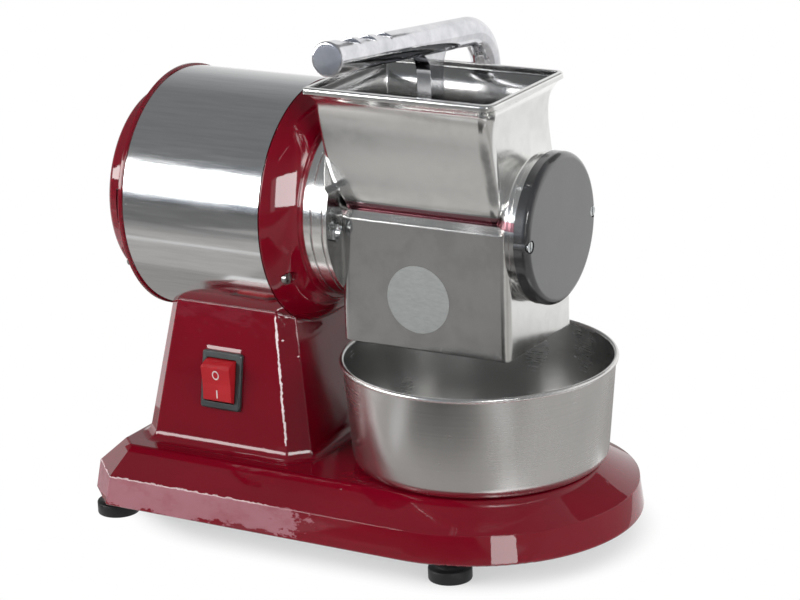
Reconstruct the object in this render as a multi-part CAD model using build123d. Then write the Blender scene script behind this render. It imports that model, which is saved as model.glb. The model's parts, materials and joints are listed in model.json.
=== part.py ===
from build123d import *
import math
import os

# Electric cheese grater: a motor on a cast pedestal turns a toothed drum inside a polished hopper head.
# Millimetres. +X runs along the motor towards the bearing cover, +Y is the lever's hinge side, +Z is up.
# The origin is on the floor, below the motor's axis, halfway along the base.

# Fits
fit_gap = 0.05          # between turned pieces that sit in each other
run_gap = 0.05          # between a shaft and what it turns in
slip_gap = 0.3          # between loose covers and the casting

# Feet and bottom cover
foot_height = 11.6
foot_radius = 11.0
foot_screw_radius = 2.2
foot_screw_length = 26.0
foot_screw_head_radius = 4.2
foot_screw_head = 2.6
foot_well_radius = 5.0
foot_boss_radius = 6.5
rear_foot_setback = 12.5
rear_foot_inset = 20.2  # from the side of the base
front_foot_advance = 18.2
front_foot_inset = 16.1
cover_plate = 1.5

# Base casting
base_length = 278.4
base_width = 167.2
skirt_height = 15.4
skirt_lean = 2.1
deck_rise = 11.0
deck_side_bevel = 18.7
deck_rear_bevel = 11.0
rear_corner = 19.0
deck_corner = 10.0
casting_wall = 4.0

deck_rounding = 1.5
skirt_rounding = 0.8

# Pedestal
pedestal_margin = 5.75  # the strip of deck behind the pedestal, filled by its concave foot
pedestal_length = 99.7
pedestal_width = 97.0
pedestal_lean = 0.1735
pedestal_corner = 9.0
pedestal_corner_taper = 0.027
pedestal_rounding = 1.5
saddle_thickness = 6.0
lead_hole_radius = 5.0
saddle_bolt_radius = 3.0
saddle_bolt_head_radius = 5.8
saddle_bolt_head = 4.0
saddle_bolt_spacing = 40.0

# Motor
axis_above_deck = 126.0
sleeve_radius = 62.5
sleeve_length = 81.0
sleeve_wall = 1.2
sleeve_overhang = 42.6  # from the sleeve's rear edge to the middle of the pedestal
frame_wall = 9.0
shield_flange = 2.5
bearing_radius = 17.5
bearing_width = 11.0
journal_radius = 7.5
rotor_radius = 30.0
air_gap = 0.5
stator_length = 42.0
winding_length = 10.0
rotor_seat_radius = 9.0

# Rear cap and fan
cap_rim_radius = 63.3
cap_rim = 2.0
cap_depth = 17.0
cap_shoulder_radius = 55.4
cap_back_radius = 51.0
cap_back_rounding = 4.0
cap_wall = 2.5
cap_vents = 6
cap_screw_circle = 58.9
fan_blades = 7
fan_radius = 45.0
fan_shaft_radius = 6.0

# Front ring
ring_length = 16.0
ring_front_radius = 48.3
ring_crown = 57.4
ring_lip = 1.0          # rounding of the ring's two edges
ring_screw_circle = 57.0
ring_screws_count = 3
ring_screw_angle = 88.0
screw_radius = 2.0
screw_head_radius = 3.0
screw_head = 2.4
screw_reach = 12.0      # into the motor's frame

# Head casting
neck_length = 14.0
neck_radius = 47.0
neck_ledge = 17.0       # height of the flat above the axis where the hopper stands on the neck
neck_plate = 5.0
spigot_radius = 43.9
spigot_depth = 5.8
groove_depth = 0.3
groove_width = 0.6
head_wall = 3.0
chamber_length = 94.0
chamber_half_width = 35.0
chamber_corner = 4.0
chamber_top_corner = 9.0  # the corner beside the neck widens towards the shoulder
chamber_top_step = 2.1    # and its wall runs that far into the neck
shoulder_height = 3.6
shoulder_depth = 3.7
throat_rise = 7.2
throat_relief = 1.5       # the throat is cut wider than the hopper above it, to clear the drum
rim_height = 3.0
rim_rounding = 1.2
corner_motor_side = 2.5
corner_cap_side = 6.0
bowl_gap = 10.2           # between the bowl's rim and the chute

# Hopper sections above the throat: rise above the axis, motor side from the ring's front,
# then how far the cap side and the long sides stand back from the chamber's walls
hopper_sections = [
    (7.2, 15.0, 4.5, 5.5),
    (13.5, 14.0, 4.1, 2.4),
    (20.0, 10.4, 4.9, 2.0),
    (34.0, 5.9, 7.1, 1.6),
    (48.0, 3.7, 8.6, 1.2),
    (59.0, 2.9, 7.9, -0.3),
    (66.0, -0.8, 3.6, -6.0),
]

# Bearing cover on the cap side
boss_radius = 36.8
boss_root = 8.6         # how far the domed boss runs back into the hopper's wall
boss_root_radius = 29.0
band_radius = 37.4
band_width = 3.0
band_stand_off = 5.1    # how far the band stands out of the chamber's end wall
drum_port_radius = 27.5
cover_radius = 38.0
cover_depth = 7.8
cover_rounding = 3.5
cover_wall = 3.0
cover_spigot = 7.5
cover_screw_circle = 34.4
cover_screw_radius = 1.5
cover_well_radius = 3.2
cover_well_wall = 0.8
cover_well_depth = 2.2
cover_screw_reach = 4.5
bush_radius = 11.0
bush_length = 10.0
outboard_radius = 6.0

# Studs that hold the head on the ring
stud_radius = 2.5
stud_circle = 40.0
stud_angle = 5.0        # below the horizontal
nut_flats = 8.0
nut_height = 2.8
nut_dome = 1.6

# Drum
drum_radius = 25.0
drum_wall = 1.2
drum_end_gap = 2.2      # to the wall on the motor side
drum_end_space = 14.8   # from the drum's other end to the outside of the chamber, for its nut
drum_hub = 8.0
drum_hub_rim = 4.0
drum_hub_boss = 5.0
drum_hub_recess = 2.0
drum_shaft_radius = 7.0
tooth_rows = 9
teeth_per_row = 14
tooth_height = 1.0
tooth_width = 2.6
tooth_base = 2.4
drive_pin_radius = 2.0
drum_nut_flats = 19.0
drum_nut_height = 5.5
seal_radius = 12.0
seal_length = 5.0

# Press lever
pivot_y = 59.0
pivot_rise = 41.0
pivot_pin_radius = 4.0
pivot_boss_radius = 10.0
pivot_boss_width = 16.0
ear_thickness = 6.0
ear_root_up = 15.0
ear_root_down = 19.0
ear_gap = 0.4
clip_thickness = 1.0
clip_radius = 6.5
lever_offset = -2.5     # from the middle of the hopper's rim
lever_radius = 7.6
lever_reach = 157.0
lever_bend_rise = 41.5
lever_slope_rise = 17.0
lever_bend_radius = 24.0
grip_radius = 8.4
grip_length = 58.0
grip_notches = 3
grip_notch_pitch = 15.5
grip_notch_depth = 3.0
stem_width = 13.5
stem_thickness = 8.0
stem_flare = 12.0
presser_gap = 1.7       # between the presser and the drum's teeth
presser_wall = 5.0
presser_front = 22.0
presser_back = 16.0
presser_side_gap = 5.5
presser_boss_width = 20.0
presser_boss_rise = 39.0
presser_screw_spacing = 7.2

# Bowl
bowl_forward = 11.6     # from the middle of the chute to the middle of the bowl
bowl_rim_radius = 70.7
bowl_base_radius = 65.5
bowl_height = 55.3
bowl_corner = 7.0
bowl_wall = 1.0
bowl_bead = 1.3

# Switch
switch_offset = -0.4    # from the middle of the pedestal
switch_rise = 36.0      # above the deck
bezel_width = 23.8
bezel_height = 30.1
bezel_thickness = 2.2
switch_body_width = 21.6
switch_body_height = 28.0
switch_body_depth = 18.0
switch_wall = 1.6
rocker_width = 17.1
rocker_radius = 11.2    # of its two ends, about its pin
rocker_rise = 6.2
rocker_dish = 3.0       # slope of its two flats towards the middle
rocker_tilt = 13.0
rocker_gap = 0.4
rocker_pin_radius = 1.2
terminal_blades = 4

# Cable entry
grommet_rise = 20.0     # above the deck
grommet_radius = 6.5
grommet_flange = 9.0
grommet_bore = 3.6
grommet_lip = 2.5

# Electrics inside the pedestal
capacitor_radius = 15.0
capacitor_length = 50.0
terminal_block_length = 34.0
terminal_block_width = 18.0
terminal_block_height = 13.0
terminal_block_offset = 62.0
terminal_screw_radius = 2.6
terminal_screw_depth = 4.0

# Heights and stations worked out from the sizes above
skirt_top = foot_height + skirt_height
deck_z = skirt_top + deck_rise
axis_z = deck_z + axis_above_deck
round_x = base_length / 2 - base_width / 2
deck_rear_x = -base_length / 2 + skirt_lean + deck_rear_bevel
pedestal_x = deck_rear_x + pedestal_margin + pedestal_length / 2
sleeve_x0 = pedestal_x - sleeve_overhang
sleeve_x1 = sleeve_x0 + sleeve_length
ring_x1 = sleeve_x1 + ring_length
head_x0 = ring_x1 + neck_length
head_x1 = head_x0 + chamber_length
band_x1 = head_x1 + band_stand_off
cover_x1 = band_x1 + cover_depth
frame_radius = sleeve_radius - sleeve_wall - fit_gap
bore_radius = frame_radius - frame_wall
stator_x0 = (sleeve_x0 + sleeve_x1 - stator_length) / 2
stator_x1 = stator_x0 + stator_length
front_bearing_x = sleeve_x1 - 5.0
rear_bearing_x = sleeve_x0 + 4.0
throat_z = axis_z + throat_rise
rim_z = axis_z + hopper_sections[-1][0]
chute_z = deck_z + bowl_height + bowl_gap
bowl_x = head_x0 + chamber_length / 2 + bowl_forward
drum_x0 = head_x0 + head_wall + drum_end_gap
drum_x1 = head_x1 - drum_end_space
drum_length = drum_x1 - drum_x0
lever_x = (ring_x1 + hopper_sections[-1][1] + head_x1 - hopper_sections[-1][2]) / 2 + lever_offset
pivot_z = axis_z + pivot_rise
shaft_end_x = band_x1 + 2.0
motor_axis = Axis((0, 0, axis_z), (1, 0, 0))


def rod_x(radius, x0, x1, y=0.0, z=axis_z):
    """A round bar along X."""
    return Pos((x0 + x1) / 2, y, z) * Rot(0, 90, 0) * Cylinder(radius, x1 - x0)


def tube_x(outer, inner, x0, x1):
    """A tube on the motor's axis."""
    return rod_x(outer, x0, x1) - rod_x(inner, x0, x1)


def rod_z(radius, z0, z1, x, y):
    """An upright round bar."""
    return Pos(x, y, (z0 + z1) / 2) * Cylinder(radius, z1 - z0)


def turned(*profile):
    """A solid of revolution on the motor's axis, from stations and radii."""
    outline = Polyline(*[(x, axis_z + r) for x, r in profile], close=True)
    return revolve(Plane.XZ * make_face(outline), motor_axis)


def on_circle(radius, angle):
    """The Y and Z of a point on a circle about the motor's axis, counted from +Y."""
    return radius * math.cos(math.radians(angle)), axis_z + radius * math.sin(math.radians(angle))


def base_section(z, side, rear, corner):
    """The base's outline at a height: straight sides, chamfered rear corners, half-round front."""
    half = base_width / 2 - side
    back = -base_length / 2 + rear
    edge = Polyline(
        (round_x, -half),
        (back + corner, -half),
        (back, -half + corner),
        (back, half - corner),
        (back + corner, half),
        (round_x, half),
    )
    nose = ThreePointArc((round_x, half), (round_x + half, 0), (round_x, -half))
    return Pos(0, 0, z) * make_face(edge + nose)


def pedestal_section(z, inset):
    """The pedestal's outline at a height: a rectangle with chamfered corners."""
    lean = 2 * (pedestal_lean * (z - deck_z) + inset)
    corner = pedestal_corner - pedestal_corner_taper * (z - deck_z)
    outline = chamfer(Rectangle(pedestal_length - lean, pedestal_width - lean).vertices(), corner)
    return Pos(pedestal_x, 0, z) * outline


def level_edges(solid, z):
    """A solid's edges that lie at one height."""
    return ShapeList(
        edge for edge in solid.edges() if all(abs(corner.Z - z) < 0.01 for corner in edge.vertices())
    )


def foot_places():
    """The four feet's places in plan."""
    rear = -base_length / 2 + rear_foot_setback
    front = round_x + front_foot_advance
    rear_y = base_width / 2 - rear_foot_inset
    front_y = base_width / 2 - front_foot_inset
    return [(x, side * y) for x, y in ((rear, rear_y), (front, front_y)) for side in (-1, 1)]


def saddle_bolt_places():
    """The two bolts under the motor, along X."""
    return [pedestal_x - saddle_bolt_spacing / 2, pedestal_x + saddle_bolt_spacing / 2]


def face_plane(normal_x, normal_y, rise):
    """A plane on one of the pedestal's sloping sides, at a height above the deck."""
    reach = (pedestal_length if normal_x else pedestal_width) / 2 - pedestal_lean * rise
    tilt = math.atan(pedestal_lean)
    out = (normal_x * math.cos(tilt), normal_y * math.cos(tilt), math.sin(tilt))
    origin = (pedestal_x + normal_x * reach, normal_y * reach, deck_z + rise)
    return Plane(origin=origin, x_dir=(-normal_y, normal_x, 0), z_dir=out)


switch_plane = face_plane(0, -1, switch_rise) * Pos(switch_offset, 0, 0)
grommet_plane = face_plane(-1, 0, grommet_rise)


def base_casting():
    """The lacquered casting: hollow base, hollow pedestal and the saddle under the motor."""
    bottom = base_section(foot_height, 0, 0, rear_corner)
    belt = base_section(skirt_top, skirt_lean, skirt_lean, rear_corner)
    deck = base_section(deck_z, skirt_lean + deck_side_bevel, skirt_lean + deck_rear_bevel, deck_corner)
    body = loft([bottom, belt], ruled=True) + loft([belt, deck], ruled=True)
    body = fillet(level_edges(body, deck_z), deck_rounding)
    body = fillet(level_edges(body, foot_height), skirt_rounding)

    saddle_z = axis_z - sleeve_radius / 2
    pedestal = loft([pedestal_section(deck_z, 0), pedestal_section(saddle_z, 0)], ruled=True)
    uprights = pedestal.edges() - level_edges(pedestal, deck_z) - level_edges(pedestal, saddle_z)
    pedestal = fillet(uprights, pedestal_rounding)
    foot_length = pedestal_length + pedestal_margin / 2
    foot_width = pedestal_width + pedestal_margin / 2
    outer = body + pedestal
    foot = [
        edge for edge in level_edges(outer, deck_z)
        if abs(edge.center().X - pedestal_x) < foot_length / 2 and abs(edge.center().Y) < foot_width / 2
    ]
    outer = fillet(foot, pedestal_margin)

    ceiling = axis_z - sleeve_radius - saddle_thickness
    inner_bottom = base_section(foot_height, casting_wall, casting_wall, rear_corner)
    inner_belt = base_section(skirt_top, skirt_lean + casting_wall, skirt_lean + casting_wall, rear_corner)
    inner_deck = base_section(
        deck_z - casting_wall,
        skirt_lean + deck_side_bevel + casting_wall / 2,
        skirt_lean + deck_rear_bevel + casting_wall / 2,
        deck_corner,
    )
    hollow = loft([inner_bottom, inner_belt], ruled=True) + loft([inner_belt, inner_deck], ruled=True)
    well_z = foot_height + skirt_height
    shaft_well = loft(
        [pedestal_section(well_z, casting_wall), pedestal_section(ceiling, casting_wall)], ruled=True
    )
    for x, y in foot_places():
        hollow -= rod_z(foot_boss_radius, foot_height + cover_plate, deck_z, x, y)
    casting = outer - hollow - shaft_well

    for x, y in foot_places():
        hole_top = foot_height + cover_plate + foot_screw_length / 2
        casting -= rod_z(foot_screw_radius + fit_gap, foot_height, hole_top, x, y)
    casting -= rod_x(sleeve_radius, -base_length, base_length)
    casting -= rod_z(lead_hole_radius, ceiling - 1, axis_z, pedestal_x, 0)
    for x in saddle_bolt_places():
        casting -= rod_z(saddle_bolt_radius + fit_gap, ceiling - 1, axis_z, x, 0)
    casting -= switch_plane * Box(switch_body_width + slip_gap, switch_body_height + slip_gap, 30)
    casting -= grommet_plane * Cylinder(grommet_radius + fit_gap, 40)
    return casting


def bottom_cover():
    """The sheet that closes the base from below."""
    inset = casting_wall + slip_gap
    sheet = extrude(base_section(foot_height, inset, inset, rear_corner), cover_plate)
    for x, y in foot_places():
        sheet -= rod_z(foot_screw_radius + fit_gap, foot_height - 1, foot_height + cover_plate + 1, x, y)
    return sheet


def rubber_foot(x, y):
    """A stepped rubber foot with a well for its screw."""
    groove = foot_height * 0.62
    profile = Polyline(
        (foot_screw_radius + fit_gap, foot_height),
        (foot_radius, foot_height),
        (foot_radius, groove + 0.8),
        (foot_radius - 1.2, groove),
        (foot_radius - 0.3, groove - 0.8),
        (foot_radius - 1.4, 0),
        (foot_well_radius, 0),
        (foot_well_radius, foot_height / 2),
        (foot_screw_radius + fit_gap, foot_height / 2),
        close=True,
    )
    return Pos(x, y, 0) * revolve(Plane.XZ * make_face(profile), Axis.Z)


def foot_screw(x, y):
    """The screw through a foot and the bottom cover into the casting."""
    seat = foot_height / 2
    head = rod_z(foot_screw_head_radius, seat - foot_screw_head, seat, x, y)
    return head + rod_z(foot_screw_radius, seat, seat + foot_screw_length / 2, x, y)


def cable_grommet():
    """The rubber bush in the pedestal's rear face."""
    depth = casting_wall + 2 * grommet_lip
    ring = Pos(0, 0, grommet_lip - depth / 2) * Cylinder(grommet_radius, depth)
    lip = Pos(0, 0, grommet_lip / 2) * Cylinder(grommet_flange, grommet_lip)
    bush = ring + lip - Cylinder(grommet_bore, 4 * depth)
    return grommet_plane * bush


def switch_housing():
    """The black bezel and the open box behind it that carries the rocker."""
    bezel = extrude(RectangleRounded(bezel_width, bezel_height, 1.6), bezel_thickness)
    bezel = chamfer(bezel.edges().group_by(Axis.Z)[-1], 0.6)
    body = Pos(0, 0, -switch_body_depth / 2) * Box(switch_body_width, switch_body_height, switch_body_depth)
    depth = switch_body_depth - switch_wall + bezel_thickness
    well = Pos(0, 0, bezel_thickness - depth / 2) * Box(
        rocker_width + 2 * rocker_gap, 2 * (rocker_radius + rocker_gap), depth
    )
    pin = Rot(0, 90, 0) * Cylinder(rocker_pin_radius, rocker_width + 2 * rocker_gap)
    return switch_plane * (bezel + body - well + pin)


def switch_rocker():
    """The red rocker: two flats that meet over the pin between round ends, its lower end pressed in."""
    def end_point(side, angle):
        """A point on one of the rocker's round ends."""
        turn = math.radians(angle)
        return side * rocker_radius * math.cos(turn), rocker_radius * math.sin(turn)

    crest = math.degrees(math.asin(rocker_rise / rocker_radius)) + rocker_dish
    foot = -2 * rocker_tilt
    right = ThreePointArc(end_point(1, foot), end_point(1, 0), end_point(1, crest))
    left = ThreePointArc(end_point(-1, crest), end_point(-1, 0), end_point(-1, foot))
    top = Polyline(end_point(1, crest), (0, rocker_rise), end_point(-1, crest))
    outline = make_face(right + top + left + Line(end_point(-1, foot), end_point(1, foot)))
    body = extrude(Plane.YZ * outline, rocker_width / 2, both=True)
    body -= Rot(0, 90, 0) * Cylinder(rocker_pin_radius + run_gap, rocker_width + 2)
    return switch_plane * Rot(rocker_tilt, 0, 0) * body


def switch_terminals():
    """The brass blades at the back of the switch."""
    blades = []
    for index in range(terminal_blades):
        x = (index % 2 - 0.5) * 10
        y = (index // 2 - 0.5) * 12
        blades.append(switch_plane * Pos(x, y, -switch_body_depth - 4) * Box(0.8, 6.3, 8))
    return blades


def run_capacitor():
    """The motor's capacitor, standing on the bottom cover."""
    z0 = foot_height + cover_plate
    x, y = pedestal_x - 14, 14
    can = rod_z(capacitor_radius, z0, z0 + capacitor_length, x, y)
    can = fillet(can.edges().group_by(Axis.Z)[-1], 2.0)
    stub = rod_z(3.0, z0 + capacitor_length, z0 + capacitor_length + 8, x - 6, y)
    return can + stub + Pos(12, 0, 0) * stub


def terminal_block():
    """The screw terminals on the bottom cover."""
    z0 = foot_height + cover_plate
    x = pedestal_x + terminal_block_offset
    block = Pos(x, 0, z0 + terminal_block_height / 2) * Box(
        terminal_block_length, terminal_block_width, terminal_block_height
    )
    screw_hole = Cylinder(terminal_screw_radius, 2 * terminal_screw_depth)
    for place in GridLocations(terminal_block_length / 4, terminal_block_width / 2, 4, 2):
        block -= Pos(x, 0, z0 + terminal_block_height) * place * screw_hole
    return block


def saddle_bolts():
    """The bolts from inside the pedestal up into the motor's frame."""
    ceiling = axis_z - sleeve_radius - saddle_thickness
    top = axis_z - frame_radius + frame_wall - 1
    bolts = []
    for x in saddle_bolt_places():
        hexagon = RegularPolygon(saddle_bolt_head_radius, 6)
        head = Pos(x, 0, ceiling - saddle_bolt_head) * extrude(hexagon, saddle_bolt_head)
        bolts.append(head + rod_z(saddle_bolt_radius, ceiling, top, x, 0))
    return bolts


def lead_and_bolt_holes(piece):
    """The holes under the motor for the leads and the saddle bolts."""
    low = axis_z - sleeve_radius - 5
    piece -= rod_z(lead_hole_radius, low, axis_z - bore_radius + 2, pedestal_x, 0)
    for x in saddle_bolt_places():
        piece -= rod_z(saddle_bolt_radius + fit_gap, low, axis_z - bore_radius + 2, x, 0)
    return piece


def motor_sleeve():
    """The polished sleeve round the motor."""
    return lead_and_bolt_holes(tube_x(sleeve_radius, sleeve_radius - sleeve_wall, sleeve_x0, sleeve_x1))


def shield_screw_holes(piece, circle, x0, x1, radius):
    """Holes along X on a circle, one for each shield screw."""
    for y, z in shield_screw_places(circle):
        piece -= rod_x(radius, x0, x1, y, z)
    return piece


def shield_screw_places(circle):
    """The shield screws' places on a circle."""
    step = 360 / ring_screws_count
    return [on_circle(circle, ring_screw_angle + step * index) for index in range(ring_screws_count)]


def motor_frame():
    """The aluminium tube that holds the stator and takes the shields' screws."""
    x0 = sleeve_x0 + shield_flange
    x1 = sleeve_x1 - shield_flange
    hole_depth = screw_reach + 1
    frame = lead_and_bolt_holes(tube_x(frame_radius, bore_radius, x0, x1))
    frame = shield_screw_holes(frame, ring_screw_circle, x1 - hole_depth, x1 + 1, screw_radius + fit_gap)
    return shield_screw_holes(frame, cap_screw_circle, x0 - 1, x0 + hole_depth, screw_radius + fit_gap)


def stator_core():
    """The stator's stack of laminations."""
    return tube_x(bore_radius - fit_gap, rotor_radius + air_gap, stator_x0, stator_x1)


def stator_windings():
    """The rounded ends of the stator's coils."""
    inner = rotor_radius + 4
    outer = bore_radius - 4
    rings = []
    for face, way in ((stator_x0, -1), (stator_x1, 1)):
        end = face + way * winding_length
        ring = turned((face, inner), (face, outer), (end, outer), (end, inner))
        edges = [e for e in ring.edges().filter_by(GeomType.CIRCLE) if abs(e.center().X - end) < 0.01]
        rings.append(fillet(edges, 3.0))
    return rings


def rotor_core():
    """The rotor's stack on the shaft, with its end rings."""
    core = tube_x(rotor_radius, rotor_seat_radius + fit_gap, stator_x0, stator_x1)
    ends = tube_x(rotor_radius - 1, rotor_radius - 8, stator_x0 - 5, stator_x1 + 5)
    return core + ends


def motor_shaft():
    """The one shaft that carries fan, rotor and drum."""
    fan_x = sleeve_x0 - cap_depth + cap_wall + 1.2
    front_end = front_bearing_x + bearing_width + 2
    shaft = turned(
        (fan_x, 0), (fan_x, fan_shaft_radius),
        (sleeve_x0 + 2, fan_shaft_radius), (sleeve_x0 + 2, journal_radius),
        (rear_bearing_x + bearing_width, journal_radius),
        (rear_bearing_x + bearing_width, rotor_seat_radius),
        (front_bearing_x, rotor_seat_radius), (front_bearing_x, journal_radius),
        (front_end, journal_radius), (front_end, drum_shaft_radius),
        (drum_x1, drum_shaft_radius), (drum_x1, outboard_radius),
        (shaft_end_x, outboard_radius), (shaft_end_x, 0),
    )
    return shaft - drive_pin_rod(drive_pin_radius + fit_gap)


def drive_pin_rod(radius):
    """A bar across the shaft through the drum's inner hub."""
    length = 2 * (drum_radius - drum_wall) - 4
    return Pos(drum_x0 + drum_hub / 2, 0, axis_z) * Cylinder(radius, length)


def bearing(x0):
    """A ball bearing with its shield grooves."""
    ring = tube_x(bearing_radius - fit_gap, journal_radius + run_gap, x0, x0 + bearing_width)
    outer_groove, inner_groove = bearing_radius - 3, journal_radius + 3
    for side in (x0, x0 + bearing_width):
        ring -= tube_x(outer_groove, inner_groove, side - 0.8, side + 0.8)
    return ring


def rear_shield():
    """The rear bearing's plate, inside the end of the sleeve."""
    register = bore_radius - fit_gap
    hub = bearing_radius + 4.5
    plate = sleeve_x0 + shield_flange + 4.5
    hub_end = rear_bearing_x + bearing_width
    shield = turned(
        (sleeve_x0, fan_shaft_radius + 2), (sleeve_x0, frame_radius),
        (sleeve_x0 + shield_flange, frame_radius), (sleeve_x0 + shield_flange, register),
        (plate, register), (plate, hub), (hub_end, hub), (hub_end, bearing_radius),
        (rear_bearing_x, bearing_radius), (rear_bearing_x, fan_shaft_radius + 2),
    )
    return shield_screw_holes(
        shield, cap_screw_circle, sleeve_x0 - 1, sleeve_x0 + shield_flange + 1, screw_radius + fit_gap
    )


def front_ring():
    """The lacquered front shield: its crowned rim shows, its web holds the front bearing and the head."""
    register = bore_radius - fit_gap
    x0, x1 = sleeve_x1, ring_x1
    web = x1 - spigot_depth - 0.2
    lip = ring_lip
    bow = lip * math.sqrt(0.5)
    top = sleeve_radius - 0.2
    nose = ring_front_radius
    rim = Polyline(
        (x0 - shield_flange - 4.5, register - 5), (x0 - shield_flange - 4.5, register),
        (x0 - shield_flange, register), (x0 - shield_flange, frame_radius - lip),
        (x0, frame_radius - lip), (x0, top - lip),
    )
    rear_lip = ThreePointArc((x0, top - lip), (x0 + lip - bow, top - lip + bow), (x0 + lip, top))
    crown = ThreePointArc((x0 + lip, top), ((x0 + x1) / 2 + 1, ring_crown), (x1 - lip, nose + lip))
    front_lip = ThreePointArc((x1 - lip, nose + lip), (x1 - lip + bow, nose + bow), (x1, nose))
    front = Polyline(
        (x1, nose), (x1, spigot_radius + fit_gap),
        (web, spigot_radius + fit_gap), (web, seal_radius),
        (front_bearing_x + bearing_width, seal_radius), (front_bearing_x + bearing_width, bearing_radius),
        (front_bearing_x, bearing_radius), (front_bearing_x, bearing_radius + 4.5),
        (x0 + 3, bearing_radius + 4.5), (x0 + 3, register - 5), (x0 - shield_flange - 4.5, register - 5),
    )
    outline = make_face(rim + rear_lip + crown + front_lip + front)
    ring = revolve(Plane.XZ * Pos(0, axis_z, 0) * outline, motor_axis)
    seat = ring_screw_seat()
    ring = shield_screw_holes(ring, ring_screw_circle, x0 - 20, seat + 1, screw_radius + fit_gap)
    ring = shield_screw_holes(ring, ring_screw_circle, seat, x1 + 1, screw_head_radius + 0.4)
    for side in (-1, 1):
        y, z = stud_place(side)
        ring -= rod_x(stud_radius + fit_gap, x0, x1, y, z)
    return ring


def ring_screw_seat():
    """The station of the ring screws' seats."""
    return sleeve_x1 + ring_length * 0.42


def screw_x(seat, tip, y, z, way):
    """A pan-head screw along X, with its head on the side that way points to."""
    crown = seat + way * screw_head
    head = rod_x(screw_head_radius, min(seat, crown), max(seat, crown), y, z)
    slot = Pos(crown, y, z) * Box(1.4, 0.9, 2 * screw_head_radius + 1)
    return head + rod_x(screw_radius, min(seat, tip), max(seat, tip), y, z) - slot


def ring_screws():
    """The screws through the front ring into the frame."""
    tip = sleeve_x1 - shield_flange - screw_reach
    return [screw_x(ring_screw_seat(), tip, y, z, 1) for y, z in shield_screw_places(ring_screw_circle)]


def rear_cap_screws():
    """The screws through the rear cap's rim into the frame."""
    seat = sleeve_x0 - cap_rim
    tip = sleeve_x0 + shield_flange + screw_reach
    return [screw_x(seat, tip, y, z, -1) for y, z in shield_screw_places(cap_screw_circle)]


def rear_cap():
    """The lacquered fan cover: flat rim, raised drum with a rounded back edge, vents on side and back."""
    x0 = sleeve_x0
    back = x0 - cap_depth
    cap = turned(
        (x0, cap_rim_radius), (x0 - cap_rim, cap_rim_radius), (x0 - cap_rim, cap_shoulder_radius),
        (back, cap_back_radius), (back, 0), (back + cap_wall, 0),
        (back + cap_wall, cap_back_radius - cap_wall), (x0, cap_shoulder_radius - cap_wall),
    )
    edge = [e for e in cap.edges().filter_by(GeomType.CIRCLE) if abs(e.center().X - back) < 0.01]
    cap = fillet(edge, cap_back_rounding)
    step = 360 / cap_vents
    vent_x = (back + cap_back_rounding + x0 - cap_rim) / 2
    for index in range(cap_vents):
        turn = Pos(0, 0, axis_z) * Rot(step * (index + 0.5), 0, 0)
        cap -= turn * Pos(vent_x, 0, cap_shoulder_radius - 1) * Box(5.0, 18.0, 12.0)
        for fan_slot in (-1, 1):
            swing = Pos(0, 0, axis_z) * Rot(step * (index + fan_slot / 4), 0, 0)
            cap -= swing * Pos(back, 0, cap_back_radius * 0.58) * Box(3 * cap_wall, 5.0, 22.0)
    return shield_screw_holes(cap, cap_screw_circle, x0 - cap_rim - 1, x0 + 1, screw_radius + fit_gap)


def cooling_fan():
    """The fan behind the motor: a hub with radial blades."""
    x0 = sleeve_x0 - cap_depth + cap_wall + 1.5
    x1 = sleeve_x0 - 1.5
    fan = rod_x(fan_shaft_radius + 6, x0, x1)
    fan += rod_x(fan_radius * 0.6, x1 - 1.4, x1)
    reach = fan_radius - fan_shaft_radius
    blade = Pos((x0 + x1) / 2, 0, fan_shaft_radius + reach / 2) * Box(x1 - x0, 1.8, reach)
    for index in range(fan_blades):
        fan += Pos(0, 0, axis_z) * Rot(360 * index / fan_blades, 0, 0) * blade
    return fan - rod_x(fan_shaft_radius + fit_gap, x0 - 1, x1 + 1)


def stud_place(side):
    """The Y and Z of a head stud, just below the axis on either side."""
    drop = math.radians(stud_angle)
    return side * stud_circle * math.cos(drop), axis_z - stud_circle * math.sin(drop)


def head_studs():
    """The studs from the ring through the neck."""
    x0 = sleeve_x1 + 3
    return [rod_x(stud_radius, x0, head_x0 + nut_height, *stud_place(side)) for side in (-1, 1)]


def head_nuts():
    """The domed nuts on the neck's front."""
    nuts = []
    for side in (-1, 1):
        y, z = stud_place(side)
        seat = Pos(head_x0, y, z) * Rot(0, 90, 0)
        flats = seat * extrude(RegularPolygon(nut_flats / math.sqrt(3), 6), nut_height)
        dome = seat * Pos(0, 0, nut_height + nut_dome / 2) * Cone(nut_flats * 0.42, 1.6, nut_dome)
        nuts.append(flats + dome - rod_x(stud_radius + fit_gap, head_x0 - 1, head_x0 + nut_height, y, z))
    return nuts


def box_section(x0, x1, half, near, far):
    """A rectangle in plan with its own corner radii on the motor side and the cap side."""
    sketch = Pos((x0 + x1) / 2, 0) * Rectangle(x1 - x0, 2 * half)
    sketch = fillet(sketch.vertices().group_by(Axis.X)[0], near)
    return fillet(sketch.vertices().group_by(Axis.X)[-1], far)


def hopper_section(index, inset):
    """One of the hopper's sections, drawn in by a wall's thickness."""
    rise, motor_side, cap_side, long_side = hopper_sections[index]
    x0 = ring_x1 + motor_side + inset
    x1 = head_x1 - cap_side - inset
    half = chamber_half_width - long_side - inset
    sketch = box_section(x0, x1, half, max(corner_motor_side - inset, 1.0), corner_cap_side - inset)
    return Pos(0, 0, axis_z + rise) * sketch


def hopper_loft(inset):
    """The flared hopper from its throat to the foot of its rim."""
    return loft([hopper_section(index, inset) for index in range(len(hopper_sections))])


def shoulder_loft():
    """The sloped shoulder between the chamber's walls and the narrower throat."""
    sections = []
    for height, depth in ((throat_z - shoulder_height, 0), (throat_z, shoulder_depth)):
        half = chamber_half_width - depth
        x0 = head_x0 - chamber_top_step
        x1 = head_x1 - depth
        sections.append(Pos(0, 0, height) * box_section(x0, x1, half, chamber_top_corner, chamber_corner))
    return loft(sections, ruled=True)


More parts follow.
